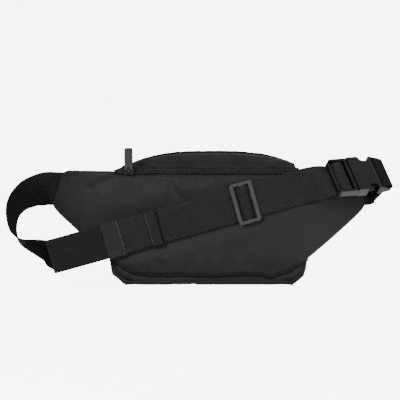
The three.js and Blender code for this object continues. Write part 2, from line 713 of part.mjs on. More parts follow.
// Socket half: a flat sleeve, scooped at both sides for the finger pads, with a webbing bar at its end.
function femaleSocket() {
  const mouth = MALE_LENGTH + GAP;
  const waist = 50;
  const cavity = 19.9;
  const end = 66.3;
  const rail = 21.9;
  const outline = new THREE.Shape();
  outline.moveTo(mouth, BUCKLE_HALF).lineTo(36, BUCKLE_HALF).quadraticCurveTo(38, 22.4, 38.6, 19.7);
  outline.quadraticCurveTo(41, 15.2, 45, 15).quadraticCurveTo(48.4, 15.4, waist, rail - 1);
  outline.quadraticCurveTo(50.6, rail, 53, rail).lineTo(end - 3, rail);
  outline.quadraticCurveTo(end, rail, end, rail - 3);
  outline.lineTo(end, 3 - rail).quadraticCurveTo(end, -rail, end - 3, -rail).lineTo(53, -rail);
  outline.quadraticCurveTo(50.6, -rail, waist, 1 - rail).quadraticCurveTo(48.4, -15.4, 45, -15);
  outline.quadraticCurveTo(41, -15.2, 38.6, -19.7).quadraticCurveTo(38, -22.4, 36, -BUCKLE_HALF);
  outline.lineTo(mouth, -BUCKLE_HALF);
  const slotFrom = 53.4;
  const slotTo = 59.6;
  outline.holes.push(rectangle(slotFrom, slotTo, -SLOT_HALF, SLOT_HALF, 1));
  const thin = 3;
  const slope = 0.3;
  const trims = [1, -1].map((side) => {
    const wedge = block(0, 30, 0, 10, -30, 30).rotateZ(-slope).translate(50.5, FEMALE_THICK, 0);
    return side > 0 ? wedge : wedge.rotateX(Math.PI);
  });
  const barTrims = [1, -1].map((side) => {
    const [low, high] = side > 0 ? [2.2, 8] : [-8, -2.2];
    return block(slotTo - 0.5, end + 1, low, high, -SLOT_HALF, SLOT_HALF);
  });
  return shaped(plate(outline, -FEMALE_THICK, FEMALE_THICK), {
    cut: [
      block(mouth - 1, waist + 0.4, -3.8, 3.8, -cavity, cavity),
      ...trims,
      ...barTrims,
      block(slotTo, end + 1, thin, 9, -30, 30),
      block(slotTo, end + 1, -9, -thin, -30, 30),
    ],
  });
}
add("buckle_socket", femaleSocket(), PLASTIC, buckle);

export default pack;
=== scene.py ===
"""A black waist pack standing on its base, seen from the padded side that lies against the wearer.

Lengths in the tables are millimetres, with the back panel's outer face at y = 0. place() turns them into
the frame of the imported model: metres, with the origin at the middle of the base.
"""

import math

import bmesh
import bpy
from mathutils import Matrix, Vector, noise


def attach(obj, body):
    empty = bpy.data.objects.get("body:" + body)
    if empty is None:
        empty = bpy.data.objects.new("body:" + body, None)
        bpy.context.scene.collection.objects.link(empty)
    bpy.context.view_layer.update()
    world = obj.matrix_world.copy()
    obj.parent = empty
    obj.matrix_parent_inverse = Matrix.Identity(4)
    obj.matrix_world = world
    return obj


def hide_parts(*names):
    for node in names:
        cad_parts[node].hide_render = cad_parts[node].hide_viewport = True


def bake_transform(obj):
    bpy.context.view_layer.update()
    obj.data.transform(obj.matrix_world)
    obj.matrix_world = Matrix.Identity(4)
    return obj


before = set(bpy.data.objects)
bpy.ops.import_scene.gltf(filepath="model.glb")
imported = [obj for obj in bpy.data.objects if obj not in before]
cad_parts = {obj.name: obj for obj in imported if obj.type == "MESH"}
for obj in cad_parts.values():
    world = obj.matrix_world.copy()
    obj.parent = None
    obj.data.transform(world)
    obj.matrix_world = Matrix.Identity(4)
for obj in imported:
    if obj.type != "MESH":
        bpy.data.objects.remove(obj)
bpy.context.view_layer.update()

MM = 0.001
BASE_MIDDLE = 40.0  # from the back panel's face to the middle of the base

# ------------------------------------------------------------------ sizes of the CAD model, some adjusted
WING_TIP = 174.8
WING_BEND_FROM = 110.0
WING_BEND = 0.0062
PANEL_THICK = 5.5
PANEL_UPPER = [
    (0, 124.3), (102, 124.3), (107, 128.3), (156, 128.3),
    (161, 126.8), (164, 123.5), (173.9, 93.5), (174.8, 90),
]
PANEL_LOWER = [
    (0, 12.5), (62, 12.5), (76, 13.6), (88, 16.8), (98, 22), (110, 31),
    (167.3, 78.9), (172.3, 84), (174.8, 88),
]
BODY_BACK = 5.8
BODY_FRONT = 68.0
BASE_ROUND = 11.0
TOP_END = 104.5
ZIP_HEIGHT = 128.1
FRONT_ZIP_HEIGHT = 95.2
FRONT_ZIP_Y = 84.33
FRONT_Y = 71.6
DOME = 9.0
SIDE_BACK = [
    (101.5, 130.2), (106, 105), (107, 75), (107, 47), (103, 29.5), (85, 19.5), (58, 14), (0, 14),
]
SIDE_FRONT = [
    (101, 124.8), (109.5, 106), (112, 76), (110.5, 40), (106, 12), (93, 0), (60, 0), (0, 0),
]
POCKET_HALF = 86.0
POCKET_TOP = 91.5
POCKET_LOWER = [(0, 13), (62, 13), (78, 19), (86, 34)]

WEB = 38.0
WEB_T = 1.5
LAYER = 1.8
STRAP_START = Vector((-175.7, 0, 32.8))
STRAP_ANGLE = math.radians(15.8)
UNDER_N = 2.35
TOP_N = UNDER_N + LAYER
TAIL_N = TOP_N + LAYER
HEM_N = TAIL_N + LAYER
UNDER_FROM = 27.0
TAIL_END = 124.6
HEM = 12.0
TAIL_LIFT = 2.2  # how far the tail's end stands off the strap
TAIL_LIFT_FROM = TAIL_END - 13
WING_WEB_TO = 178.6
WING_WEB_Z = 107.0
IN_WING = (160, 164, 168, 172)  # where webbing between a wing's two layers is drawn
KEEPER_AT = 72.4
KEEPER_WIDE = 18.8
GLIDE_AT = 224.0
STRAP_FLAT_TO = 285.5
BUCKLE_AT = Vector((134.3, -14.2, 121))
BUCKLE_TURN = [math.radians(a) for a in (-41, -2.7, 23)]  # about its own X, then Y, then Z


# ------------------------------------------------------------------ helpers
def mix(a, b, t):
    return a + (b - a) * t


def clamp(value, low=0.0, high=1.0):
    return max(low, min(high, value))


def ease(t):
    t = clamp(t)
    return t * t * (3 - 2 * t)


def place(p):
    """A point in millimetres, panel face at y = 0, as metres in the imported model's frame."""
    return Vector((p[0], p[1] - BASE_MIDDLE, p[2])) * MM


def height_at(corners, x):
    """The height at x of an outline given by its right half's corners."""
    r = abs(x)
    for (x0, z0), (x1, z1) in zip(corners, corners[1:]):
        if r <= x1:
            return mix(z0, z1, (r - x0) / (x1 - x0))
    return corners[-1][1]


def rounded_height(corners, x, reach):
    """The same outline with its corners smoothed over reach."""
    steps = 4
    total = sum(height_at(corners, x + reach * k / steps) for k in range(-steps, steps + 1))
    return total / (2 * steps + 1)


def wing_bend(x):
    return WING_BEND * max(0.0, abs(x) - WING_BEND_FROM) ** 2


def strip(count):
    return [i / count for i in range(count + 1)]


def mesh_piece(name, points, faces, uvs=None):
    """A new piece from points in the model's frame. uvs are in metres, one for each corner of each face."""
    mesh = bpy.data.meshes.new(name)
    mesh.from_pydata([tuple(p) for p in points], [], faces)
    if uvs is not None:
        layer = mesh.uv_layers.new(name="UVMap")
        for loop, uv in zip(layer.data, uvs):
            loop.uv = uv
    mesh.update()
    piece = bpy.data.objects.new(name, mesh)
    bpy.context.scene.collection.objects.link(piece)
    mesh.shade_smooth()
    return piece


def grid_piece(name, grid, uv):
    """An open sheet through a grid of points, with uv(i, j) in metres."""
    rows = len(grid)
    cols = len(grid[0])
    faces = []
    uvs = []
    for i in range(rows - 1):
        for j in range(cols - 1):
            corners = [(i, j), (i + 1, j), (i + 1, j + 1), (i, j + 1)]
            faces.append([a * cols + b for a, b in corners])
            uvs += [uv(a, b) for a, b in corners]
    return mesh_piece(name, [p for row in grid for p in row], faces, uvs)


def border(grid):
    """The numbers of the points round a grid's edge."""
    rows = len(grid)
    cols = len(grid[0])
    every = [(i, j) for i in range(rows) for j in range(cols)]
    return [i * cols + j for i, j in every if i in (0, rows - 1) or j in (0, cols - 1)]


def face_out(piece, inside):
    """Turns a sheet's faces away from a point inside it."""
    middle = piece.data.polygons[len(piece.data.polygons) // 2]
    if (middle.center - inside).dot(middle.normal) < 0:
        piece.data.flip_normals()


def apply_modifiers(piece):
    graph = bpy.context.evaluated_depsgraph_get()
    graph.update()
    done = bpy.data.meshes.new_from_object(piece.evaluated_get(graph))
    piece.modifiers.clear()
    piece.data = done


def thicken(piece, thickness):
    """Gives a sheet its thickness, inwards."""
    shell = piece.modifiers.new("thickness", "SOLIDIFY")
    shell.thickness = thickness * MM
    shell.offset = -1.0


def subdivide(piece):
    smooth = piece.modifiers.new("smooth", "SUBSURF")
    smooth.levels = 1
    smooth.render_levels = 1


def bevel(piece, width, segments=2):
    """Rounds the edges where faces meet at more than 35 degrees."""
    edge = piece.modifiers.new("rounded edges", "BEVEL")
    edge.width = width * MM
    edge.segments = segments
    edge.limit_method = "ANGLE"
    edge.angle_limit = math.radians(35)
    edge.harden_normals = False


def paint(piece, material):
    piece.data.materials.clear()
    piece.data.materials.append(material)


def joined(name, parts):
    """One piece out of several sets of (points, faces)."""
    points = []
    faces = []
    for some_points, some_faces in parts:
        start = len(points)
        points += some_points
        faces += [[start + k for k in face] for face in some_faces]
    return mesh_piece(name, points, faces)


def rod(start, end, radius):
    """A short round-ended rod as (points, faces)."""
    along = (end - start).normalized()
    side = along.orthogonal().normalized()
    other = along.cross(side)
    sides = 6
    points = [start - along * radius]
    for t, scale in ((0.0, 0.75), (0.25, 1.0), (0.75, 1.0), (1.0, 0.75)):
        centre = start.lerp(end, t)
        for k in range(sides):
            turn = 2 * math.pi * k / sides
            points.append(centre + (side * math.cos(turn) + other * math.sin(turn)) * radius * scale)
    points.append(end + along * radius)
    faces = []
    for k in range(sides):
        m = (k + 1) % sides
        faces.append([0, 1 + m, 1 + k])
        for ring in range(3):
            a = 1 + ring * sides
            faces.append([a + k, a + m, a + sides + m, a + sides + k])
        a = 1 + 3 * sides
        faces.append([a + k, a + m, len(points) - 1])
    return points, faces


def stitches(name, line, length, gap, radius, material, body):
    """A row of stitches along a line of points in the model's frame, in metres."""
    parts = []
    pitch = (length + gap) * MM
    travelled = 0.0
    wanted = pitch / 2
    for a, b in zip(line, line[1:]):
        span = (b - a).length
        while span > 0 and wanted <= travelled + span:
            middle = a.lerp(b, (wanted - travelled) / span)
            half = (b - a).normalized() * (length * MM / 2 - radius * MM)
            parts.append(rod(middle - half, middle + half, radius * MM))
            wanted += pitch
        travelled += span
    piece = joined(name, parts)
    paint(piece, material)
    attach(piece, body)
    return piece


def tube(name, line, radius, sides=8, closed=False, wobble=0.0):
    """A round tube along points in the model's frame."""
    rings = []
    count = len(line)
    for i, p in enumerate(line):
        before = line[i - 1] if i or closed else line[0]
        after = line[(i + 1) % count] if i + 1 < count or closed else line[-1]
        along = (after - before).normalized()
        side = along.cross(Vector((0, 1, 0)))
        if side.length < 0.1:
            side = along.cross(Vector((1, 0, 0)))
        side.normalize()
        other = along.cross(side)
        size = radius * (1 + wobble * noise.noise(p * 160))
        turns = [2 * math.pi * k / sides for k in range(sides)]
        rings.append([p + (side * math.cos(t) + other * math.sin(t)) * size * MM for t in turns])
    faces = []
    for i in range(count if closed else count - 1):
        n = (i + 1) % count
        for k in range(sides):
            m = (k + 1) % sides
            faces.append([i * sides + k, i * sides + m, n * sides + m, n * sides + k])
    if not closed:
        faces.append(list(range(sides))[::-1])
        faces.append([(count - 1) * sides + k for k in range(sides)])
    return mesh_piece(name, [p for ring in rings for p in ring], faces)


# ------------------------------------------------------------------ materials
class Nodes:
    """Short names for building one material's nodes."""

    def __init__(self, name, roughness, colour, specular=0.5, sheen=0.0, coat=0.0):
        self.material = bpy.data.materials.new(name)
        self.material.use_nodes = True
        self.tree = self.material.node_tree
        self.shader = self.tree.nodes["Principled BSDF"]
        self.shader.inputs["Base Color"].default_value = (*colour, 1)
        self.shader.inputs["Roughness"].default_value = roughness
        self.shader.inputs["Specular IOR Level"].default_value = specular
        self.shader.inputs["Sheen Weight"].default_value = sheen
        self.shader.inputs["Sheen Roughness"].default_value = 0.5
        self.shader.inputs["Coat Weight"].default_value = coat
        self.shader.inputs["Coat Roughness"].default_value = 0.2

    def link(self, value, socket):
        if isinstance(value, bpy.types.NodeSocket):
            self.tree.links.new(value, socket)
        else:
            socket.default_value = value

    def math(self, operation, a, b=0.0):
        node = self.tree.nodes.new("ShaderNodeMath")
        node.operation = operation
        self.link(a, node.inputs[0])
        self.link(b, node.inputs[1])
        return node.outputs[0]

    def uv(self):
        """u and v in metres, as the pieces' UV maps hold them."""
        uv = self.tree.nodes.new("ShaderNodeUVMap")
        split = self.tree.nodes.new("ShaderNodeSeparateXYZ")
        self.tree.links.new(uv.outputs[0], split.inputs[0])
        return split.outputs[0], split.outputs[1]

    def noise(self, size_mm, detail=3.0):
        node = self.tree.nodes.new("ShaderNodeTexNoise")
        node.inputs["Scale"].default_value = 1000.0 / size_mm
        node.inputs["Detail"].default_value = detail
        coordinates = self.tree.nodes.new("ShaderNodeTexCoord")
        self.tree.links.new(coordinates.outputs["Object"], node.inputs["Vector"])
        return node.outputs["Fac"]

    def wave(self, along, pitch_mm, across=0.0, across_pitch_mm=None):
        """A smooth 0 to 1 wave along one measure, slanted by another."""
        turns = self.math("MULTIPLY", along, 2 * math.pi * 1000.0 / pitch_mm)
        if across_pitch_mm:
            slanted = self.math("MULTIPLY", across, 2 * math.pi * 1000.0 / across_pitch_mm)
            turns = self.math("ADD", turns, slanted)
        return self.math("ADD", self.math("MULTIPLY", self.math("SINE", turns), 0.5), 0.5)

    def ramp(self, value, *stops):
        node = self.tree.nodes.new("ShaderNodeValToRGB")
        elements = node.color_ramp.elements
        while len(elements) < len(stops):
            elements.new(0.5)
        for element, (at, colour) in zip(elements, stops):
            element.position = at
            element.color = (*colour, 1)
        self.link(value, node.inputs[0])
        return node.outputs[0]

    def colour(self, value):
        self.link(value, self.shader.inputs["Base Color"])

    def roughness(self, value, low, high):
        spread = self.math("ADD", self.math("MULTIPLY", value, high - low), low)
        self.link(spread, self.shader.inputs["Roughness"])

    def bump(self, height, depth_mm, strength=1.0, below=None):
        node = self.tree.nodes.new("ShaderNodeBump")
        node.inputs["Strength"].default_value = strength
        node.inputs["Distance"].default_value = depth_mm * MM
        self.link(height, node.inputs["Height"])
        if below is not None:
            self.tree.links.new(below, node.inputs["Normal"])
        self.tree.links.new(node.outputs[0], self.shader.inputs["Normal"])
        return node.outputs[0]


def shades(level, spread):
    """Darker and lighter neutral greys round a level."""
    return tuple((g, g, g * 1.03) for g in (level * (1 - spread), level * (1 + spread)))


def woven_nylon(name, level, thread=0.55, roughness=0.62, sheen=0.12, specular=0.2, crinkle=0.35):
    """Plain-weave coated nylon with a soft, slightly crinkled hand."""
    made = Nodes(name, roughness, (level,) * 3, specular=specular, sheen=sheen)
    u, v = made.uv()
    warp = made.wave(u, thread)
    weft = made.wave(v, thread)
    weave = made.math("MULTIPLY", warp, weft)
    cloudy = made.noise(30, 4)
    fine = made.noise(1.4, 2)
    dark, light = shades(level, 0.18)
    tone = made.math("ADD", made.math("MULTIPLY", cloudy, 0.6), made.math("MULTIPLY", weave, 0.4))
    made.colour(made.ramp(tone, (0.25, dark), (0.75, light)))
    made.roughness(fine, roughness - 0.08, roughness + 0.1)
    soft = made.bump(made.noise(14, 3), crinkle)
    made.bump(weave, 0.05, 0.8, below=soft)
    return made.material


def webbing(name, level, slant_mm=4.3, lean_mm=3.7, rib_mm=1.15, slant_share=0.85, roughness=0.7,
            spread=0.75, sheen=0.05, specular=0.2, crossed_from=None, dark=(), dark_by=0.17, fade=0.5):
    """Woven belt webbing: slanted twill ribs over fine cross ribs.

    Beyond crossed_from, in mm along it, the ribs slant both ways, as on a belt's tail. Between the two
    ends given as dark, also in mm along it, the webbing is darker, a painted shade, fading in over fade.
    """
    made = Nodes(name, roughness, (level,) * 3, specular=specular, sheen=sheen)
    u, v = made.uv()
    slant = made.wave(u, slant_mm, v, lean_mm)
    if crossed_from is not None:
        other = made.wave(u, slant_mm, v, -lean_mm)
        beyond = made.math("GREATER_THAN", u, crossed_from * MM)
        change = made.math("SUBTRACT", other, slant)
        share = made.math("MULTIPLY", beyond, 0.62)
        slant = made.math("ADD", slant, made.math("MULTIPLY", change, share))
    cross = made.wave(u, rib_mm)
    threads = made.wave(v, 0.7)
    slanted = made.math("MULTIPLY", slant, slant_share)
    crossing = made.math("MULTIPLY", cross, 1 - slant_share)
    rows = made.math("ADD", slanted, crossing)
    cloth = made.math("ADD", made.math("MULTIPLY", rows, 0.8), made.math("MULTIPLY", threads, 0.2))
    low, high = shades(level, spread)
    grey_tone = made.math("ADD", made.math("MULTIPLY", cloth, 0.8), made.math("MULTIPLY", made.noise(9, 3), 0.2))
    # Painted shade: the webbing is made darker between the two dark ends, fading in.
    if dark:
        past = made.math("MULTIPLY", made.math("SUBTRACT", u, dark[0] * MM), 1 / (fade * MM))
        after = made.math("MINIMUM", made.math("MAXIMUM", past, 0.0), 1.0)
        before = made.math("LESS_THAN", u, dark[1] * MM)
        painted_shade = made.math("MULTIPLY", made.math("MULTIPLY", after, before), dark_by)
        grey_tone = made.math("SUBTRACT", grey_tone, painted_shade)
    made.colour(made.ramp(grey_tone, (0.25, low), (0.75, high)))
    made.roughness(cloth, roughness - 0.1, roughness + 0.12)
    made.bump(cloth, 0.75, 1.0)
    return made.material


def moulded(name, level, roughness, specular=0.5, grain=0.03, coat=0.0):
    """Moulded plastic, rubber or enamelled metal with a fine skin texture, lighter on sharp edges and darker
    in hollows by the mesh's pointiness.
    """
    made = Nodes(name, roughness, (level,) * 3, specular=specular, coat=coat)
    fine = made.noise(0.7, 3)
    broad = made.noise(12, 3)
    dark, light = shades(level, 0.2)
    edge = made.tree.nodes.new("ShaderNodeNewGeometry").outputs["Pointiness"]
    grey_tone = made.math("ADD", made.math("MULTIPLY", broad, 0.5), made.math("MULTIPLY", edge, 0.5))
    made.colour(made.ramp(grey_tone, (0.35, dark), (0.65, light)))
    made.roughness(broad, roughness - 0.06, roughness + 0.08)
    made.bump(fine, grain, 0.7)
    return made.material


PANEL_NYLON = woven_nylon("panel_nylon", 0.0182, sheen=0.06)
BODY_NYLON = woven_nylon("body_nylon", 0.0165, thread=0.7, roughness=0.66, crinkle=0.5)
# Painted light: the top gusset is the body's black nylon, its level set lighter than the body's to stand in
# for how light falls on the top.
TOP_NYLON = woven_nylon(
    "top_nylon", 0.0210, thread=0.7, roughness=0.75, sheen=0.03, specular=0.1, crinkle=0.5,
)
# Near-black cloth for the piping and rolled seams, also for two painted shadows: the seam roll in the crease
# under the back panel and the tube at the tail's end.
PIPING_AND_SHADOW_CLOTH = woven_nylon("piping_and_shadow_cloth", 0.004, thread=0.5, roughness=0.6, sheen=0.03, crinkle=0.25)
# Painted shade: the side loop is the belt's webbing, set darker in level and darker again from 22 mm along
# it, where it turns away from the light.
LOOP_WEBBING = webbing(
    "loop_webbing", 0.0150, slant_share=0.55, spread=0.9, sheen=0.0, specular=0.08,
    dark=(22, 400), dark_by=0.19, fade=28,
)
ANCHOR_WEBBING = webbing("anchor_webbing", 0.009, slant_mm=2.2, lean_mm=2.0, spread=0.4, specular=0.1)
HUMP_WEBBING = webbing("hump_webbing", 0.0175, slant_mm=2.6, lean_mm=2.4, spread=0.3)
KNIT = webbing("elastic_knit", 0.026, slant_mm=2.0, lean_mm=-2.6, rib_mm=0.9, slant_share=0.5, roughness=0.8)
TAPE_CLOTH = webbing("zip_tape_cloth", 0.006, slant_mm=1.9, lean_mm=1e6, rib_mm=0.8, slant_share=0.7)
THREAD = moulded("thread", 0.020, 0.6, specular=0.2, grain=0.02)
PALE_THREAD = moulded("pale_thread", 0.07, 0.5, grain=0.02)
COIL = moulded("zip_coil", 0.034, 0.42, grain=0.01)
GLOSSY = moulded("buckle_plastic", 0.0040, 0.27, specular=0.45)
SATIN = moulded("glide_plastic", 0.036, 0.40, specular=0.45)
ENAMEL = moulded("enamelled_metal", 0.008, 0.3, specular=0.6, coat=0.3)
RUBBER = moulded("puller_rubber", 0.036, 0.62, specular=0.3, grain=0.05)


# ------------------------------------------------------------------ cloth
def simulate(piece, held, pressure, spare, cap, steps=20, stiffness=12.0, bending=0.15):
    """Blows a sheet up with its held points fixed, cut larger than its frame by spare. cap(point) in mm."""
    rest = [v.co.copy() for v in piece.data.vertices]
    seams = piece.vertex_groups.new(name="seams")
    seams.add(held, 1.0, "REPLACE")
    cloth = piece.modifiers.new("Cloth", "CLOTH")
    fabric = cloth.settings
    fabric.vertex_group_mass = "seams"
    fabric.quality = 6
    fabric.mass = 0.15
    fabric.tension_stiffness = stiffness
    fabric.compression_stiffness = stiffness
    fabric.shear_stiffness = 4
    fabric.bending_stiffness = bending
    fabric.shrink_min = -spare
    fabric.shrink_max = -spare
    fabric.use_pressure = True
    fabric.uniform_pressure_force = pressure
    fabric.effector_weights.gravity = 0
    cloth.point_cache.frame_start = 1
    cloth.point_cache.frame_end = steps
    for step in range(1, steps + 1):
        bpy.context.scene.frame_set(step)
    graph = bpy.context.evaluated_depsgraph_get()
    blown = [v.co.copy() for v in piece.evaluated_get(graph).data.vertices]
    piece.modifiers.remove(cloth)
    bpy.context.scene.frame_set(1)
    for v, start, end in zip(piece.data.vertices, rest, blown):
        move = end - start
        most = cap(start) * MM
        if move.length > most:
            move *= most / move.length
        v.co = start + move
    piece.data.update()


# ------------------------------------------------------------------ the strap's own line
STRAP_ALONG = Vector((math.cos(STRAP_ANGLE), 0, math.sin(STRAP_ANGLE)))
STRAP_ACROSS = Vector((-math.sin(STRAP_ANGLE), 0, math.cos(STRAP_ANGLE)))


def on_panel(along, out, across=0.0):
    """A point by its place along the strap, off the panel's face and across the strap.

    The strap's end beyond the wing has nothing behind it: it leans back, most of all at its lower edge.
    """
    back = 0.0037 * max(0.0, 33 - along) ** 2 * (1 - 0.9 * across / WEB * 2)
    return STRAP_START + STRAP_ALONG * along + STRAP_ACROSS * across + Vector((0, back - out, 0))


def buckle_axes():
    x, y, z = BUCKLE_TURN
    return Matrix.Rotation(z, 3, "Z") @ Matrix.Rotation(y, 3, "Y") @ Matrix.Rotation(x, 3, "X")


BUCKLE_AXES = buckle_axes()
BUCKLE_ACROSS = BUCKLE_AXES @ Vector((0, 0, 1))
BUCKLE_ALONG = BUCKLE_AXES @ Vector((1, 0, 0))


def in_buckle(along, out):
    """A point by its place along the buckle and its distance out of the buckle's middle plane."""
    return BUCKLE_AT + BUCKLE_AXES @ Vector((along, -out, 0))


def spline(points, steps_each):
    """A Catmull-Rom curve through vectors of any length."""
    done = []
    last = len(points) - 1
    for i in range(last):
        a = points[max(i - 1, 0)]
        b = points[i]
        c = points[i + 1]
        d = points[min(i + 2, last)]
        for k in range(steps_each):
            t = k / steps_each
            point = 2 * b + (c - a) * t
            point += (2 * a - 5 * b + 4 * c - d) * t**2
            point += (3 * b - a - 3 * c + d) * t**3
            done.append(0.5 * point)
    done.append(points[last].copy())
    return done


def resample(centres, widths, pitch):
    """The same line with points pitch apart, in mm."""
    lengths = [0.0]
    for a, b in zip(centres, centres[1:]):
        lengths.append(lengths[-1] + (b - a).length)
    count = max(2, round(lengths[-1] / pitch))
    done = []
    i = 0
    for k in range(count + 1):
        s = lengths[-1] * k / count
        while i + 2 < len(lengths) and lengths[i + 1] < s:
            i += 1
        t = clamp((s - lengths[i]) / max(1e-6, lengths[i + 1] - lengths[i]))
        done.append((centres[i].lerp(centres[i + 1], t), widths[i].lerp(widths[i + 1], t).normalized(), s))
    return done


def ribbon(name, stations, width, thickness):
    """Webbing with rounded edges along (centre, width direction, distance) stations."""
    profile = []  # from one edge to the other and back, as shares of half the width and thickness
    columns = [-1, -0.985, -0.93, -0.75, -0.5, -0.25, 0, 0.25, 0.5, 0.75, 0.93, 0.985, 1]
    for w in columns:
        profile.append((w, math.sqrt(1 - clamp((abs(w) - 0.93) / 0.07) ** 2)))
    profile = profile + [(w, -h) for w, h in reversed(profile[1:-1])]
    count = len(profile)
    points = []
    us = []
    for i, (centre, across, s) in enumerate(stations):
        before = stations[max(i - 1, 0)][0]
        after = stations[min(i + 1, len(stations) - 1)][0]
        along = (after - before).normalized()
        side = (across - along * across.dot(along)).normalized()
        normal = along.cross(side)
        us.append(s * MM)
        for w, h in profile:
            lift = thickness / 2 * h
            points.append(place(centre + side * (w * width / 2) + normal * lift))
    faces = []
    uvs = []
    for i in range(len(stations) - 1):
        for k in range(count):
            m = (k + 1) % count
            faces.append([i * count + k, (i + 1) * count + k, (i + 1) * count + m, i * count + m])
            v0, v1 = profile[k][0] * width / 2 * MM, profile[m][0] * width / 2 * MM
            uvs += [(us[i], v0), (us[i + 1], v0), (us[i + 1], v1), (us[i], v1)]
    for cap, order in ((0, 1), (len(stations) - 1, -1)):
        ring = [cap * count + k for k in range(count)][::order]
        faces.append(ring)
        uvs += [(us[cap], profile[k % count][0] * width / 2 * MM) for k in range(count)][::order]
    return mesh_piece(name, points, faces, uvs)


def rise(start, end, flat_along, buckle_along, width_a, width_b):
    """From a flat stretch to the buckle, as centres and width directions, without the ends."""
    reach = 15
    steps = 16
    done = []
    b = start + flat_along * reach
    c = end - buckle_along * reach
    for i in range(1, steps):
        t = i / steps
        s = 1 - t
        point = start * s**3 + b * 3 * s * s * t + c * 3 * s * t * t + end * t**3
        done.append((point, width_a.lerp(width_b, t).normalized()))
    return done


def flat_run(start, end, out):
    """A straight stretch on the panel."""
    steps = max(2, int(abs(end - start) / 6))
    return [(on_panel(mix(start, end, t), out), STRAP_ACROSS.copy()) for t in strip(steps)]


def fold(at, low_n, direction, lift=0.0):
    """A half turn into the next layer out, to the right (1) or to the left (-1)."""
    done = []
    for t in strip(10):
        turn = t * math.pi
        along = at + direction * (LAYER / 2) * math.sin(turn)
        out = low_n + (LAYER / 2) * (1 - math.cos(turn)) + lift
        done.append((on_panel(along, out), STRAP_ACROSS.copy()))
    return done


def tail_run(start, end, out):
    """The tail's last stretch, which stands off the layer under it more and more."""
    done = []
    for t in strip(6):
        along = mix(start, end, t)
        share = clamp((along - TAIL_LIFT_FROM) / 12.5)
        done.append((on_panel(along, out + TAIL_LIFT * share * share), STRAP_ACROSS.copy()))
    return done


def strap_line():
    leaning = BUCKLE_ALONG.lerp(STRAP_ALONG, 0.5).normalized()
    under_bar = [(0, -5.5), (7, -5.6), (13, -5.4)]
    round_bar = [
        (16.2, -4.6), (18.1, -2.6), (18.3, -0.2), (17.2, 1.9), (15, 3), (12.3, 3.3),
        (9.6, 3), (7.5, 1.9), (6.4, 0), (5.7, -1.8), (4.2, -3), (1.5, -3.4),
    ]
    wrap_points = spline([in_buckle(a, n) for a, n in under_bar + round_bar], 4)
    wrap = [(p, BUCKLE_ACROSS.copy()) for p in wrap_points]
    under_end = on_panel(STRAP_FLAT_TO, UNDER_N)
    top_end = on_panel(STRAP_FLAT_TO, TOP_N)
    up = rise(under_end, wrap_points[0], STRAP_ALONG, leaning, STRAP_ACROSS, BUCKLE_ACROSS)
    down = rise(top_end, wrap_points[-1], STRAP_ALONG, leaning, STRAP_ACROSS, BUCKLE_ACROSS)
    return [
        *flat_run(UNDER_FROM, STRAP_FLAT_TO, UNDER_N), *up, *wrap, *reversed(down),
        *flat_run(STRAP_FLAT_TO, LAYER / 2 + 1, TOP_N), *fold(LAYER / 2, TOP_N, -1),
        *flat_run(3, TAIL_END - 14, TAIL_N), *tail_run(TAIL_END - 12.5, TAIL_END - LAYER / 2 - 1, TAIL_N),
        *fold(TAIL_END - LAYER / 2, TAIL_N, 1, TAIL_LIFT), *tail_run(TAIL_END - 2, TAIL_END - HEM, HEM_N),
    ]


def without_repeats(line):
    done = [line[0]]
    for item in line[1:]:
        if (item[0] - done[-1][0]).length > 0.05:
            done.append(item)
    return done


def strap_edges(count):
    """Places across the webbing, from edge to edge."""
    return [mix(-18.6, 18.6, t) for t in strip(count)]


def make_strap():
    """The waist strap in one run, with painted shade on its tail from the fold to the keeper, and a dark tube
    as a painted shadow at the tail's end.
    """
    line = without_repeats(strap_line())
    stations = resample([p for p, _ in line], [w for _, w in line], 1.5)
    piece = ribbon("waist_webbing", stations, WEB, WEB_T)
    tail = stations[-1][2] - TAIL_END - HEM
    # Painted shade: the belt webbing is darker from the tail's fold to the keeper.
    belt = webbing("belt_webbing", 0.0165, crossed_from=tail, dark=(tail, tail + KEEPER_AT))
    paint(piece, belt)
    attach(piece, "strap")
    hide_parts("waist_strap")
    hem_out = HEM_N + WEB_T / 2 + 0.2
    hem = [place(on_panel(TAIL_END - HEM + 1.6, hem_out, c)) for c in (-17.5, 17.5)]
    # Painted shadow: a near-black tube across the tail's end stands in for the shadow under the lifted fold.
    end = [place(on_panel(TAIL_END - 0.1, TAIL_N + LAYER / 2 + TAIL_LIFT - 0.6, c)) for c in strap_edges(12)]
    shadow_strip = tube("tail_end_shadow_strip", end, 1.2, sides=8, wobble=0.15)
    paint(shadow_strip, PIPING_AND_SHADOW_CLOTH)
    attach(shadow_strip, "strap")
    stitches("tail_hem_stitches", hem, 2.4, 0.6, 0.36, PALE_THREAD, "strap")


# The side loop's route from the wing to the strap: centres and width directions.
LOOP = [
    ((-186, 27.5, 106.2), (0, 0.34, 0.94)),
    ((-200.2, 18.5, 101.4), (-0.26, 0.57, 0.78)),
    ((-211.8, 12, 91), (-0.38, 0.74, 0.55)),
    ((-217.4, 7, 76.8), (-0.39, 0.88, 0.26)),
    ((-216.3, 4, 61.3), (-0.33, 0.93, 0.09)),
    ((-208.5, 4.5, 49.5), (-0.15, 0.98, 0.1)),
    ((-191.2, 7, 42.8), (0, 0.93, 0.36)),
    ((-177.3, 9.5, 37.6), (-0.2, 0.72, 0.65)),
    ((-164.6, 5.5, 35.9), (-0.26, 0.36, 0.9)),
]


def in_wing(x):
    """The webbing's centre and width direction between a wing's two layers."""
    return Vector((x, PANEL_THICK / 2 + wing_bend(x), WING_WEB_Z)), Vector((0, 0, 1))


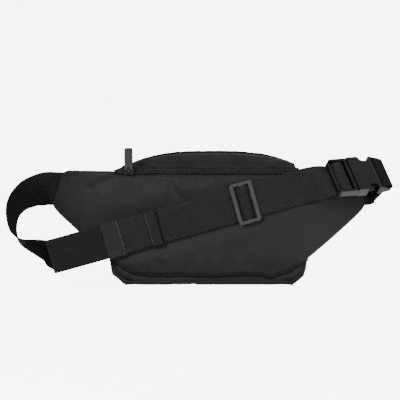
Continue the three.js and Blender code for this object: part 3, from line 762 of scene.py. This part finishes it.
def make_loop():
    controls = [in_wing(-WING_WEB_TO)] + [(Vector(p), Vector(w).normalized()) for p, w in LOOP]
    controls.append((on_panel(UNDER_FROM - 6, UNDER_N), STRAP_ACROSS.copy()))
    centres = spline([p for p, _ in controls], 10)
    widths = spline([w for _, w in controls], 10)
    start = [in_wing(-x) for x in IN_WING]
    centres = [p for p, _ in start] + centres + [on_panel(UNDER_FROM - 0.3, UNDER_N)]
    widths = [w for _, w in start] + widths + [STRAP_ACROSS.copy()]
    piece = ribbon("side_loop_webbing", resample(centres, widths, 1.5), WEB - 0.4, WEB_T)
    paint(piece, LOOP_WEBBING)
    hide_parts("strap_loop")
    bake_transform(piece)


def make_anchor():
    bar = [
        (60.5, -5), (64.6, -4), (67.4, -2.4), (68.5, 0), (67.5, 2.4), (64.4, 3.8),
        (60.4, 3.7), (57.6, 2.2), (56.5, -0.2), (56, -2.6),
    ]
    controls = [in_wing(WING_WEB_TO)] + [(in_buckle(a, n), BUCKLE_ACROSS.copy()) for a, n in bar]
    centres = spline([p for p, _ in controls], 10)
    widths = spline([w for _, w in controls], 10)
    start = [in_wing(x) for x in IN_WING]
    centres = [p for p, _ in start] + centres
    widths = [w for _, w in start] + widths
    piece = ribbon("socket_webbing", resample(centres, widths, 1.2), WEB, WEB_T)
    paint(piece, ANCHOR_WEBBING)
    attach(piece, "pack")
    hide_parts("anchor_webbing")


def keeper_section(half, low, high):
    """The band's closed outline round the strap's layers as (across, out), with points about 2 mm apart."""
    corner = 1.6
    side = half - corner + 0.5
    outline = []
    for cx, cn, start in (
        (side, high - corner + 0.5, 0),
        (-side, high - corner + 0.5, 90),
        (-side, low + corner - 0.5, 180),
        (side, low + corner - 0.5, 270),
    ):
        for k in range(6):
            a = math.radians(start + 18 * k)
            outline.append((cx + corner * math.cos(a), cn + corner * math.sin(a)))
    dense = []
    for (a0, n0), (a1, n1) in zip(outline, outline[1:] + outline[:1]):
        parts = max(1, int(math.hypot(a1 - a0, n1 - n0) / 2))
        dense += [(mix(a0, a1, k / parts), mix(n0, n1, k / parts)) for k in range(parts)]
    return dense + [dense[0]]


def make_keeper():
    """An elastic band round the strap's layers, slightly puffed in the middle of its width."""
    half = WEB / 2 + 0.9
    low = 0.9
    high = TAIL_N + WEB_T / 2 + 0.9
    section = keeper_section(half, low, high)
    steps = 12
    grid = []
    for t in strip(steps):
        s = KEEPER_AT + KEEPER_WIDE * (t - 0.5)
        edge = abs(s - KEEPER_AT) / (KEEPER_WIDE / 2)
        puff = 0.35 * (1 - edge**4)
        row = []
        for across, out in section:
            lift = puff if out > (low + high) / 2 else 0
            row.append(place(on_panel(s, out + lift, across)))
        grid.append(row)
    piece = grid_piece("keeper_band", grid, lambda i, j: (i * KEEPER_WIDE / steps * MM, j * 2 * MM))
    face_out(piece, place(on_panel(KEEPER_AT, 3)))
    thicken(piece, 1.0)
    bevel(piece, 0.3)
    paint(piece, KNIT)
    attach(piece, "keeper")
    # A rolled edge along the keeper's right side; its pale colour is a painted highlight.
    sides = [mix(-half + 0.8, half - 0.8, t) for t in strip(30)]
    highlight_line = [place(on_panel(KEEPER_AT + KEEPER_WIDE / 2 - 0.1, high + 0.75, a)) for a in sides]
    edge = tube("keeper_edge_highlight", highlight_line, 0.38, sides=6)
    paint(edge, PALE_THREAD)
    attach(edge, "keeper")
    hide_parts("strap_keeper")


def finish_hard(node, material, width):
    """Rounds a CAD node's edges and gives it a moulded skin."""
    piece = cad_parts[node]
    piece.data.materials.clear()
    piece.data.materials.append(material)
    bevel(piece, width, segments=3)
    smooth = piece.modifiers.new("shading", "WEIGHTED_NORMAL")
    smooth.keep_sharp = False
    for polygon in piece.data.polygons:
        polygon.use_smooth = True


def make_glide():
    """The strap's hump over the tri-glide's middle bar."""
    hump_low = TOP_N + WEB_T / 2 + 1.1
    top = hump_low + 3.4
    arch = [
        (-5.1, hump_low - 0.8), (-5.0, hump_low + 1), (-4.2, top - 1), (-2.4, top),
        (1.2, top + 0.1), (3.4, top - 0.7), (4.4, hump_low + 1.1), (4.5, hump_low - 0.8),
    ]
    centres = spline([on_panel(GLIDE_AT + a, n) for a, n in arch], 6)
    stations = resample(centres, [STRAP_ACROSS] * len(centres), 0.8)
    piece = ribbon("glide_webbing", stations, WEB - 0.4, 1.3)
    paint(piece, HUMP_WEBBING)
    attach(piece, "glide")
    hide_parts("glide_webbing_hump")


# ------------------------------------------------------------------ back panel
def panel_outline(count):
    """Columns across the panel as (x, low, high), finer near the wing tips."""
    done = []
    for t in strip(count):
        s = mix(-1, 1, t)
        x = WING_TIP * math.copysign(1 - (1 - abs(s)) ** 1.15, s)
        done.append((x, panel_low(x), height_at(PANEL_UPPER, x)))
    return done


# Dips, and one rise, that sewing leaves in the panel's lower edge: middle x, half width and depth.
EDGE_DIPS = [(69, 6, 2.4), (4, 6, 1.0), (38, 22, -1.0)]


def panel_low(x):
    """The panel's lower edge."""
    base = rounded_height(PANEL_LOWER, x, 5) if abs(x) < 160 else height_at(PANEL_LOWER, x)
    dips = sum(depth * math.exp(-((x - at) / wide) ** 2) for at, wide, depth in EDGE_DIPS)
    ripple = 0.5 * noise.noise(Vector((x * 0.07, 0, 7)))
    return base - dips + (ripple if abs(x) < 100 else 0)


def strap_distance(x, z):
    """How far a point on the panel is from the strap's middle line, in mm."""
    p = Vector((x, 0, z)) - STRAP_START
    along = p.dot(STRAP_ALONG)
    if along < -10:
        return 100.0
    return abs(p.dot(STRAP_ACROSS)) + max(0.0, along - STRAP_FLAT_TO) * 0.3


# Soft creases in the padding: middle x and z, the way they run, half length, half width and depth.
PANEL_DENTS = [
    (-38.6, 108.3, -56, 13, 3.2, 2.85), (14.5, 115, -74, 9, 3, 1.9), (-87, 108, -70, 9, 4, 1.33),
    (-58, 112, -80, 8, 4, 1.14), (48, 54, 70, 12, 5, 1.14), (-10, 40, 80, 12, 6, 0.95),
    (120, 74, -60, 12, 5, 0.95), (-130, 108, -75, 10, 5, 0.95),
]


def panel_dents(x, z):
    total = 0.0
    for at_x, at_z, angle, length, width, depth in PANEL_DENTS:
        turn = math.radians(angle)
        along = (x - at_x) * math.cos(turn) + (z - at_z) * math.sin(turn)
        across = (z - at_z) * math.cos(turn) - (x - at_x) * math.sin(turn)
        total += depth * math.exp(-((along / length) ** 2) - (across / width) ** 2)
    return total


def make_panel():
    rows = 46
    outline = panel_outline(136)
    grid = []
    for x, low, high in outline:
        grid.append([place((x, wing_bend(x) + 0.1, mix(low, high, t))) for t in strip(rows)])

    def uv(i, j):
        x, low, high = outline[i]
        return x * MM, mix(low, high, j / rows) * MM

    def cap(p):
        x, z = p.x / MM, p.z / MM
        clear = clamp((strap_distance(x, z) - 19) / 16)
        wing = 1 - 0.55 * ease((abs(x) - 105) / 25)
        return 0.25 + 3.2 * clear * wing

    piece = grid_piece("padded_back_panel", grid, uv)
    face_out(piece, Vector((0, 0.02, 0.07)))
    simulate(piece, border(grid), 3.0, 0.012, cap)
    # Edges roll back to the seam, and the field is a little uneven, as foam under nylon is.
    for v in piece.data.vertices:
        x, z = v.co.x / MM, v.co.z / MM
        low, high = panel_low(x), height_at(PANEL_UPPER, x)
        edge = min(z - low, high - z, WING_TIP - abs(x))
        roll = 2.0 * (1 - ease(edge / 3.5)) ** 2
        soft = 1.1 * noise.noise(Vector((x * 0.03, 0, z * 0.04)))
        dent = panel_dents(x, z)
        if strap_distance(x, z) < 24:
            soft = max(0.0, soft)
        v.co.y += (roll + soft + dent) * MM
    subdivide(piece)
    thicken(piece, PANEL_THICK - 1.2)
    paint(piece, PANEL_NYLON)
    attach(piece, "pack")
    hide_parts("back_panel", "back_foam_pad", "back_panel_inner")


def panel_point(x, z, out=0.0):
    """Just over the panel's face, for stitches."""
    return place((x, wing_bend(x) - out, z))


# ------------------------------------------------------------------ body
INSIDE = place((0, 38, 72))


def rounded(y):
    return math.sqrt(clamp(1 - max(0.0, 1 - (y - BODY_BACK) / BASE_ROUND) ** 2))


def mirrored(half):
    return [(-x, z) for x, z in half] + list(reversed(half[:-1]))


def even_line(corners, count, curved=True):
    """Points evenly spaced along a Catmull-Rom curve, or straight lines, through corners."""
    line = [Vector(c) for c in corners]
    if curved:
        line = spline(line, 12)
    lengths = [0.0]
    for a, b in zip(line, line[1:]):
        lengths.append(lengths[-1] + (b - a).length)
    done = []
    i = 0
    for t in strip(count):
        s = t * lengths[-1]
        while i + 2 < len(lengths) and lengths[i + 1] < s:
            i += 1
        k = clamp((s - lengths[i]) / max(1e-9, lengths[i + 1] - lengths[i]))
        done.append(line[i].lerp(line[i + 1], k))
    return done


def arch_at(x):
    return 129 + 16.8 * (1 - min(1.0, abs((x - 4) / 98)) ** 3)


FRONT_UPPER_SIDE = [(98, 129), (104, 122), (109.5, 106), (112, 76)]


def front_upper(x):
    if abs(x) > 98:
        return height_at(FRONT_UPPER_SIDE, x)
    return max(arch_at(x), 129.0)


def make_sides():
    around = 190
    deep = 24
    back = even_line(mirrored(SIDE_BACK), around)
    front = even_line(mirrored(SIDE_FRONT), around, curved=False)
    grid = []
    for a, b in zip(back, front):
        corner = math.exp(-((abs(b.x) - 102) / 9) ** 2) * clamp((28 - b.y) / 8)
        low = clamp((30 - b.y) / 20)
        column = []
        for v in strip(deep):
            y = mix(BODY_BACK - 1.8, BODY_FRONT + 1.5, v ** 1.35)
            s = rounded(max(y, BODY_BACK))
            out = Vector((b.x, b.y - 40)).normalized()
            folds = corner * 1.6 * math.sin(v * 34 + b.x * 0.1) * (1 - v) * ease(v / 0.06)
            puff = 5.6 * low * math.exp(-((v - 0.15) / 0.075) ** 2)
            ripple = 1.0 * low * noise.noise(Vector((b.x * 0.05, v * 6, 1.0))) * ease(v / 0.1)
            x = mix(a.x, b.x, s) + out.x * (folds + ripple)
            z = mix(a.y, b.y, s) + out.y * (folds + ripple)
            column.append(place((x, y - puff, max(0.3, z))))
        grid.append(column)
    piece = grid_piece("side_gusset", grid, lambda i, j: (i * 2.4 * MM, j * 2.9 * MM))
    face_out(piece, INSIDE)
    simulate(piece, border(grid), 2.0, 0.03, lambda p: 2.4)
    for v in piece.data.vertices:
        v.co.z = max(0.0003, v.co.z)
    make_corner_seams(piece, front, deep + 1)
    thicken(piece, 1.2)
    subdivide(piece)
    paint(piece, BODY_NYLON)
    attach(piece, "pack")
    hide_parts("side_and_base_gusset")


def make_corner_seams(piece, front, cols):
    """Rolled seams round the lower corners, lying on the finished gusset."""
    for side, name in ((-1, "left"), (1, "right")):
        corner = [n for n, point in enumerate(front) if side * point.x > 86 and point.y < 34]
        for row, radius in ((3, 1.0), (5, 1.2)):
            line = [piece.data.vertices[n * cols + row].co.copy() for n in corner]
            seam = tube(f"corner_seam_{name}_{row}", line, radius, sides=8, wobble=0.25)
            paint(seam, PIPING_AND_SHADOW_CLOTH)
            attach(seam, "pack")


# Soft folds over the top: where they start, how far they lean, how wide and how deep they are.
TOP_DENTS = [(-6, 10, 5, 3.0), (33, -6, 5, 4.2), (54, 12, 6, 2.0), (-48, 20, 7, 2.0), (78, -14, 5, 2.4)]


def make_top():
    across = 90
    deep = 26
    grid = []
    for t in strip(across):
        x = mix(-TOP_END, TOP_END, t)
        wave = 0.6 * noise.noise(Vector((x * 0.045, 3.1, 0)))
        edge = 132.0 + wave - 1.6 * ease((abs(x) - 94) / 7)
        column = []
        for v in strip(deep):
            rise_share = 1 - (1 - v) ** 1.8
            y = mix(0.9, BODY_FRONT + 1.0, v ** 1.15)
            column.append(place((x, y, mix(edge, front_upper(x) - 0.6, rise_share))))
        grid.append(column)
    piece = grid_piece("top_gusset_cloth", grid, lambda i, j: (i * 2.25 * MM, j * 2.6 * MM))
    face_out(piece, INSIDE)
    far = (BODY_FRONT - BASE_MIDDLE) * MM

    def cap(p):
        return 0.5 + 3.1 * clamp((far - p.y - 0.004) / 0.03)

    simulate(piece, border(grid), 2.0, 0.045, cap, bending=0.05)
    for number, v in enumerate(piece.data.vertices):
        depth = (number % (deep + 1)) / deep
        x = v.co.x / MM
        dents = sum(by * math.exp(-((x - at - lean * depth) / wide) ** 2) for at, lean, wide, by in TOP_DENTS)
        press = dents * ease(depth * 7) * (1 - ease((depth - 0.2) / 0.35))
        v.co.z -= press * 0.8 * MM
        v.co.y += press * 0.5 * MM
    thicken(piece, 1.2)
    subdivide(piece)
    paint(piece, TOP_NYLON)
    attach(piece, "pack")
    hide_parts("top_gusset")


def front_dome(x, z):
    return DOME * (1 - abs(x / 112) ** 6) * (1 - abs((z - 72) / 78) ** 4)


def front_lower(x):
    return height_at([(0, 0), (60, 0), (93, 0), (106, 12), (110.5, 40), (112, 64)], x)


def outline_columns(half, count):
    done = []
    for t in strip(count):
        s = mix(-1, 1, t)
        done.append(half * math.copysign(1 - (1 - abs(s)) ** 1.35, s))
    return done


def make_front():
    xs = outline_columns(111.0, 74)
    rows = 44
    grid = []
    for x in xs:
        low, high = front_lower(x) + 1.5, front_upper(x) - 0.8
        column = []
        for t in strip(rows):
            z = mix(low, high, t)
            roll = 2.3 * ease((z - high + 5) / 5)
            column.append(place((x, FRONT_Y - 0.6 + front_dome(x, z) - roll, z)))
        grid.append(column)
    piece = grid_piece("front_panel_cloth", grid, lambda i, j: (xs[i] * MM, j * 3.2 * MM))
    face_out(piece, INSIDE)
    cols = rows + 1
    pocket_edge = [
        i * cols + j for i in range(len(grid)) for j in range(cols)
        if abs(xs[i]) < 84 and 84 < mix(front_lower(xs[i]), front_upper(xs[i]), j / rows) < 104
    ]
    simulate(piece, border(grid) + pocket_edge, 2.0, 0.02, lambda p: 2.5)
    thicken(piece, 1.2)
    subdivide(piece)
    paint(piece, BODY_NYLON)
    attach(piece, "pack")
    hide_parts("front_panel")


def make_pocket():
    xs = outline_columns(POCKET_HALF, 60)
    rows = 30
    grid = []
    for x in xs:
        low = height_at(POCKET_LOWER, x)
        column = []
        for t in strip(rows):
            z = mix(low, POCKET_TOP, t)
            s = mix(-1, 1, t)
            fill = (1 - abs(x / POCKET_HALF) ** 4) * (1 - abs(s) ** 2.5)
            y = FRONT_Y + 1.4 + front_dome(x, z) + 1.2 + 6.5 * fill
            column.append(place((x, y, z)))
        grid.append(column)
    piece = grid_piece("front_pocket_cloth", grid, lambda i, j: (xs[i] * MM, j * 2.6 * MM))
    face_out(piece, INSIDE)
    simulate(piece, border(grid), 1.0, 0.03, lambda p: 1.6)
    thicken(piece, 1.0)
    subdivide(piece)
    paint(piece, BODY_NYLON)
    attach(piece, "pack")
    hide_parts("front_pocket_panel")


def make_piping():
    """Piping round the front seam, a rolled seam under the back panel, near-black as a painted shadow in its
    crease, and a rolled seam along the top.
    """
    across = [mix(-111.5, 111.5, t) for t in strip(70)]
    front = [(x, front_upper(x)) for x in across]
    lower = [(x, front_lower(x) + 1.5) for x in [mix(111.5, -111.5, t) for t in strip(70)]]
    loop = even_line(front + lower[1:-1] + [front[0]], 330)[:-1]
    line = [place((p.x, BODY_FRONT + 1.8, p.y)) for p in loop]
    piece = tube("piping_cord", line, 1.6, sides=10, closed=True, wobble=0.12)
    paint(piece, PIPING_AND_SHADOW_CLOTH)
    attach(piece, "pack")
    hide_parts("front_piping")
    # Painted shadow: a near-black rolled seam laid in the crease under the back panel stands in for the
    # crease's shade.
    under = [place((x, 4.0, panel_low(x) - 0.9)) for x in [mix(-110, 110, t) for t in strip(150)]]
    seam = tube("panel_seam_shadow_roll", under, 1.9, sides=8, wobble=0.4)
    paint(seam, PIPING_AND_SHADOW_CLOTH)
    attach(seam, "pack")
    top = [place((x, BODY_FRONT - 0.6, front_upper(x) + 0.9)) for x in [mix(-99, 99, t) for t in strip(90)]]
    fell = tube("top_seam_roll", top, 1.2, sides=8, wobble=0.35)
    paint(fell, PIPING_AND_SHADOW_CLOTH)
    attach(fell, "pack")


# ------------------------------------------------------------------ zips
def zip_frame(name):
    """From a zip's own measures (along, out, up) to the model's frame."""
    if name == "back_zip":
        return lambda x, out, up: place((x, -out, ZIP_HEIGHT + up))
    return lambda x, out, up: place((-x, FRONT_ZIP_Y + out, FRONT_ZIP_HEIGHT + up))


def make_zip(name, start, end, spare):
    """Two tapes and the coil between them.

    With spare, the lower tape runs on by so much past the start, under the wing, and both taper there.
    """
    at = zip_frame(name)
    steps = 80
    for side, label in ((-1, "lower"), (1, "upper")):
        grid = []
        tape_start = start - spare if side < 0 else start
        pitch = (end - tape_start) / steps
        for t in strip(steps):
            x = mix(tape_start, end, t)
            waver = 0.12 * noise.noise(Vector((x * 0.06, side, 0)))
            reach = mix(1.0, 3.9, ease((x - tape_start) / 9)) if spare else 3.9
            grid.append([at(x, -1.5 - 0.25 * s + waver, side * mix(0.25, reach, s)) for s in strip(5)])
        piece = grid_piece(f"{name}_{label}_tape", grid, lambda i, j: (i * pitch * MM, j * 0.73 * MM))
        face_out(piece, at(0, -20, 0))
        thicken(piece, 0.6)
        paint(piece, TAPE_CLOTH)
        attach(piece, "pack")
        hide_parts(f"{name}_tape_{label}")
    tooth_pitch = 1.0
    parts = []
    x = start + 5
    side = 1
    while x < end - 5:
        parts.append(rod(at(x, 0.1, side * 0.35), at(x, 0.0, side * 2.5), 0.5 * MM))
        side = -side
        x += tooth_pitch
    chain = joined(f"{name}_coil", parts)
    paint(chain, COIL)
    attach(chain, "pack")
    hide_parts(f"{name}_chain")


RING_OUT = 6.9  # from a zip's face to the middle of its puller
PULLER_HALF = 4.7
PULLER_FROM = 1.0
PULLER_TO = 26.0
PULLER_THICK = 1.1
PULLER_CORNER = 2.0
PULLER_EDGE = 0.9
RIB_PITCH = 2.7


def puller_half_width(s):
    """Half the tab's width at s along it, less at its rounded corners."""
    near = min(s - PULLER_FROM, PULLER_TO - s)
    if near >= PULLER_CORNER:
        return PULLER_HALF
    return PULLER_HALF - PULLER_CORNER + math.sqrt(max(0.0, PULLER_CORNER**2 - (PULLER_CORNER - near) ** 2))


def puller_relief(x, s):
    """How far a face stands off the tab's middle: rounded edges round a recessed field of ribs."""
    u = x / PULLER_HALF
    edge = clamp((1 - abs(u)) * PULLER_HALF / PULLER_EDGE)
    ends = clamp(min(s - PULLER_FROM, PULLER_TO - s) / PULLER_EDGE)
    body = PULLER_THICK * math.sqrt(clamp(1 - (1 - min(edge, ends)) ** 2))
    in_field = ease(s - 6.5) * ease(PULLER_TO - 1.8 - s) * ease((0.84 - abs(u)) / 0.1)
    rib = 0.5 * in_field * (0.5 + 0.5 * math.cos(2 * math.pi * x / RIB_PITCH))
    recess = 0.55 * in_field
    return body - recess + rib


def slab(name, front, back):
    """A closed piece between two grids of points of one size."""
    rows = len(front)
    cols = len(front[0])
    behind = rows * cols
    faces = []
    for i in range(rows - 1):
        for j in range(cols - 1):
            quad = [i * cols + j, (i + 1) * cols + j, (i + 1) * cols + j + 1, i * cols + j + 1]
            faces.append(quad)
            faces.append([behind + k for k in reversed(quad)])
    sides = [(i * cols + j, (i + 1) * cols + j) for i in range(rows - 1) for j in (0, cols - 1)]
    ends = [(i * cols + j, i * cols + j + 1) for j in range(cols - 1) for i in (0, rows - 1)]
    faces += [[a, behind + a, behind + b, b] for a, b in sides + ends]
    piece = mesh_piece(name, [p for grid in (front, back) for row in grid for p in row], faces)
    clean = bmesh.new()
    clean.from_mesh(piece.data)
    bmesh.ops.remove_doubles(clean, verts=clean.verts, dist=1e-6)
    bmesh.ops.recalc_face_normals(clean, faces=clean.faces)
    clean.to_mesh(piece.data)
    clean.free()
    return piece


def make_puller(name, slider_at, down):
    """A moulded tab with upright ribs and a rounded end, over the ring."""
    at = zip_frame(name)
    sign = -1 if down else 1
    xs = [mix(-PULLER_HALF, PULLER_HALF, t) for t in strip(44)]
    rows = [mix(PULLER_FROM, PULLER_TO, t) for t in strip(40)]

    def surface(face):
        grid = []
        for s in rows:
            narrowed = puller_half_width(s) / PULLER_HALF
            grid.append(
                [at(slider_at + x * narrowed, RING_OUT + face * puller_relief(x, s), sign * s) for x in xs]
            )
        return grid

    piece = slab(f"{name}_tab", surface(1), surface(-1))
    cut_eye(piece, at(slider_at, RING_OUT, sign * 3.5))
    paint(piece, RUBBER)
    body = "back_puller" if name == "back_zip" else "front_puller"
    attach(piece, body)
    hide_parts(f"{name}_puller")


def cut_eye(piece, centre):
    """Bores the hole that the ring goes through."""
    tool = tube("eye_tool", [centre + Vector((0, y, 0)) * MM for y in (-4, 4)], 1.35, sides=24)
    cut = piece.modifiers.new("eye", "BOOLEAN")
    cut.operation = "DIFFERENCE"
    cut.solver = "EXACT"
    cut.object = tool
    apply_modifiers(piece)
    bpy.data.objects.remove(tool)
    piece.data.shade_smooth()


# ------------------------------------------------------------------ stitching
def make_stitching():
    lines = {
        "panel_top_stitches": [panel_point(mix(-101, 101, t), 120.2, 0.35) for t in strip(160)],
        "panel_base_stitches": [
            panel_point(x, panel_low(x) + 4.2, -0.1) for x in [mix(-108, 108, t) for t in strip(140)]
        ],
    }
    for side, label in ((-1, "left"), (1, "right")):
        for k, inset in enumerate((4.5, 8.0)):
            line = []
            for t in strip(30):
                z = mix(84, 124, t)
                upper = 161.5 + (123.5 - z) * 9.5 / 30 if z > 93.5 else 171.0 - (93.5 - z) * 0.15
                line.append(panel_point(side * (min(upper, 170.5) - inset), z, 0.1))
            lines[f"{label}_wing_stitches_{k}"] = line
        low = [mix(112, 160, t) for t in strip(50)]
        high = [mix(106, 153, t) for t in strip(50)]
        lines[f"{label}_wing_edge_stitches"] = [
            panel_point(side * x, height_at(PANEL_LOWER, x) + 4.5) for x in low
        ]
        lines[f"{label}_wing_top_stitches"] = [panel_point(side * x, 124.2) for x in high]
    for name, line in lines.items():
        stitches(name, line, 2.6, 1.0, 0.26, THREAD, "pack")
    z = POCKET_TOP - 2.5
    across = [mix(-POCKET_HALF + 3, POCKET_HALF - 3, t) for t in strip(60)]
    pocket = [place((x, FRONT_Y + 3.9 + front_dome(x, z), z)) for x in across]
    stitches("pocket_top_stitches", pocket, 2.6, 1.0, 0.26, THREAD, "pack")


# ------------------------------------------------------------------ hard pieces
def finish_hardware():
    finish_hard("buckle_frame", GLOSSY, 0.8)
    finish_hard("buckle_socket", GLOSSY, 0.9)
    finish_hard("buckle_prong_upper", GLOSSY, 0.5)
    finish_hard("buckle_prong_lower", GLOSSY, 0.5)
    finish_hard("tri_glide", SATIN, 0.7)
    for name in ("back_zip", "front_zip"):
        for part in ("slider", "stop_start", "stop_end"):
            finish_hard(f"{name}_{part}", ENAMEL, 0.25)
        finish_hard(f"{name}_puller_ring", ENAMEL, 0.1)


# ------------------------------------------------------------------ floor, light and camera
def add_area(name, location, target, size, power):
    light = bpy.data.lights.new(name, "AREA")
    light.energy = power
    light.size = size
    lamp = bpy.data.objects.new(name, light)
    lamp.location = location
    lamp.rotation_euler = (Vector(target) - Vector(location)).to_track_quat("-Z", "Y").to_euler()
    bpy.context.scene.collection.objects.link(lamp)
    return lamp


def make_stage():
    """A white sweep, lit from within as a light table is, and soft boxes round the object.

    The sweep's own glow is kept off the object, as flags in front of a backdrop keep it off.
    """
    depths = [-6.0] + [mix(1.5, 4.5, t) for t in strip(24)]
    profile = [(y, 0.0 if y < 2 else 3.0 * (1 - math.sqrt(clamp(1 - ((y - 2) / 2.5) ** 2)))) for y in depths]
    points = [(x, y, z) for y, z in profile for x in (-7, 7)]
    faces = [[2 * i, 2 * i + 1, 2 * i + 3, 2 * i + 2] for i in range(len(profile) - 1)]
    floor = mesh_piece("floor", points, faces)
    floor.location.z = -0.0004
    floor.visible_diffuse = False
    floor.visible_glossy = False
    ground = Nodes("floor_paper", 0.9, (0.8, 0.8, 0.8), specular=0.1)
    ground.shader.inputs["Emission Color"].default_value = (1, 1, 1, 1)
    ground.shader.inputs["Emission Strength"].default_value = 7.0
    ground.bump(ground.noise(3, 2), 0.02, 0.2)
    paint(floor, ground.material)
    world = bpy.data.worlds.new("studio")
    world.use_nodes = True
    world.node_tree.nodes["Background"].inputs[0].default_value = (1, 1, 1, 1)
    world.node_tree.nodes["Background"].inputs[1].default_value = 0.27
    bpy.context.scene.world = world
    add_area("key", (-0.75, -1.3, 0.8), (0, 0, 0.06), 0.4, 20.5)
    add_area("fill", (0.8, -1.5, 0.15), (0, 0, 0.06), 0.9, 19)
    add_area("back", (0.3, 1.7, 0.05), (0, 0, 0.06), 0.9, 9)
    add_area("rim", (0.8, 0.2, 1.0), (0.17, -0.03, 0.12), 1.1, 1.2)
    table = add_area("table glow", (0.21, -0.05, 0.0002), (0.21, -0.05, 1), 0.17, 0.13)
    table.visible_camera = False


def make_camera():
    data = bpy.data.cameras.new("camera")
    camera = bpy.data.objects.new("camera", data)
    bpy.context.scene.collection.objects.link(camera)
    distance = 1.8
    elevation = math.radians(4)
    aim = Vector((-0.0099, -0.04, 0.0961))
    camera.location = aim + Vector((0, -math.cos(elevation), math.sin(elevation))) * distance
    camera.rotation_euler = (aim - camera.location).to_track_quat("-Z", "Y").to_euler()
    data.sensor_width = 36
    data.lens = 36 * distance / 0.442
    bpy.context.scene.camera = camera


make_camera()
make_stage()
make_panel()
make_sides()
make_top()
make_front()
make_pocket()
make_piping()
make_zip("back_zip", -106, 99, 9)
make_zip("front_zip", -74, 74, 0)
make_puller("back_zip", -88.5, down=False)
make_puller("front_zip", -62, down=True)
make_strap()
make_loop()
make_anchor()
make_keeper()
make_glide()
make_stitching()
finish_hardware()
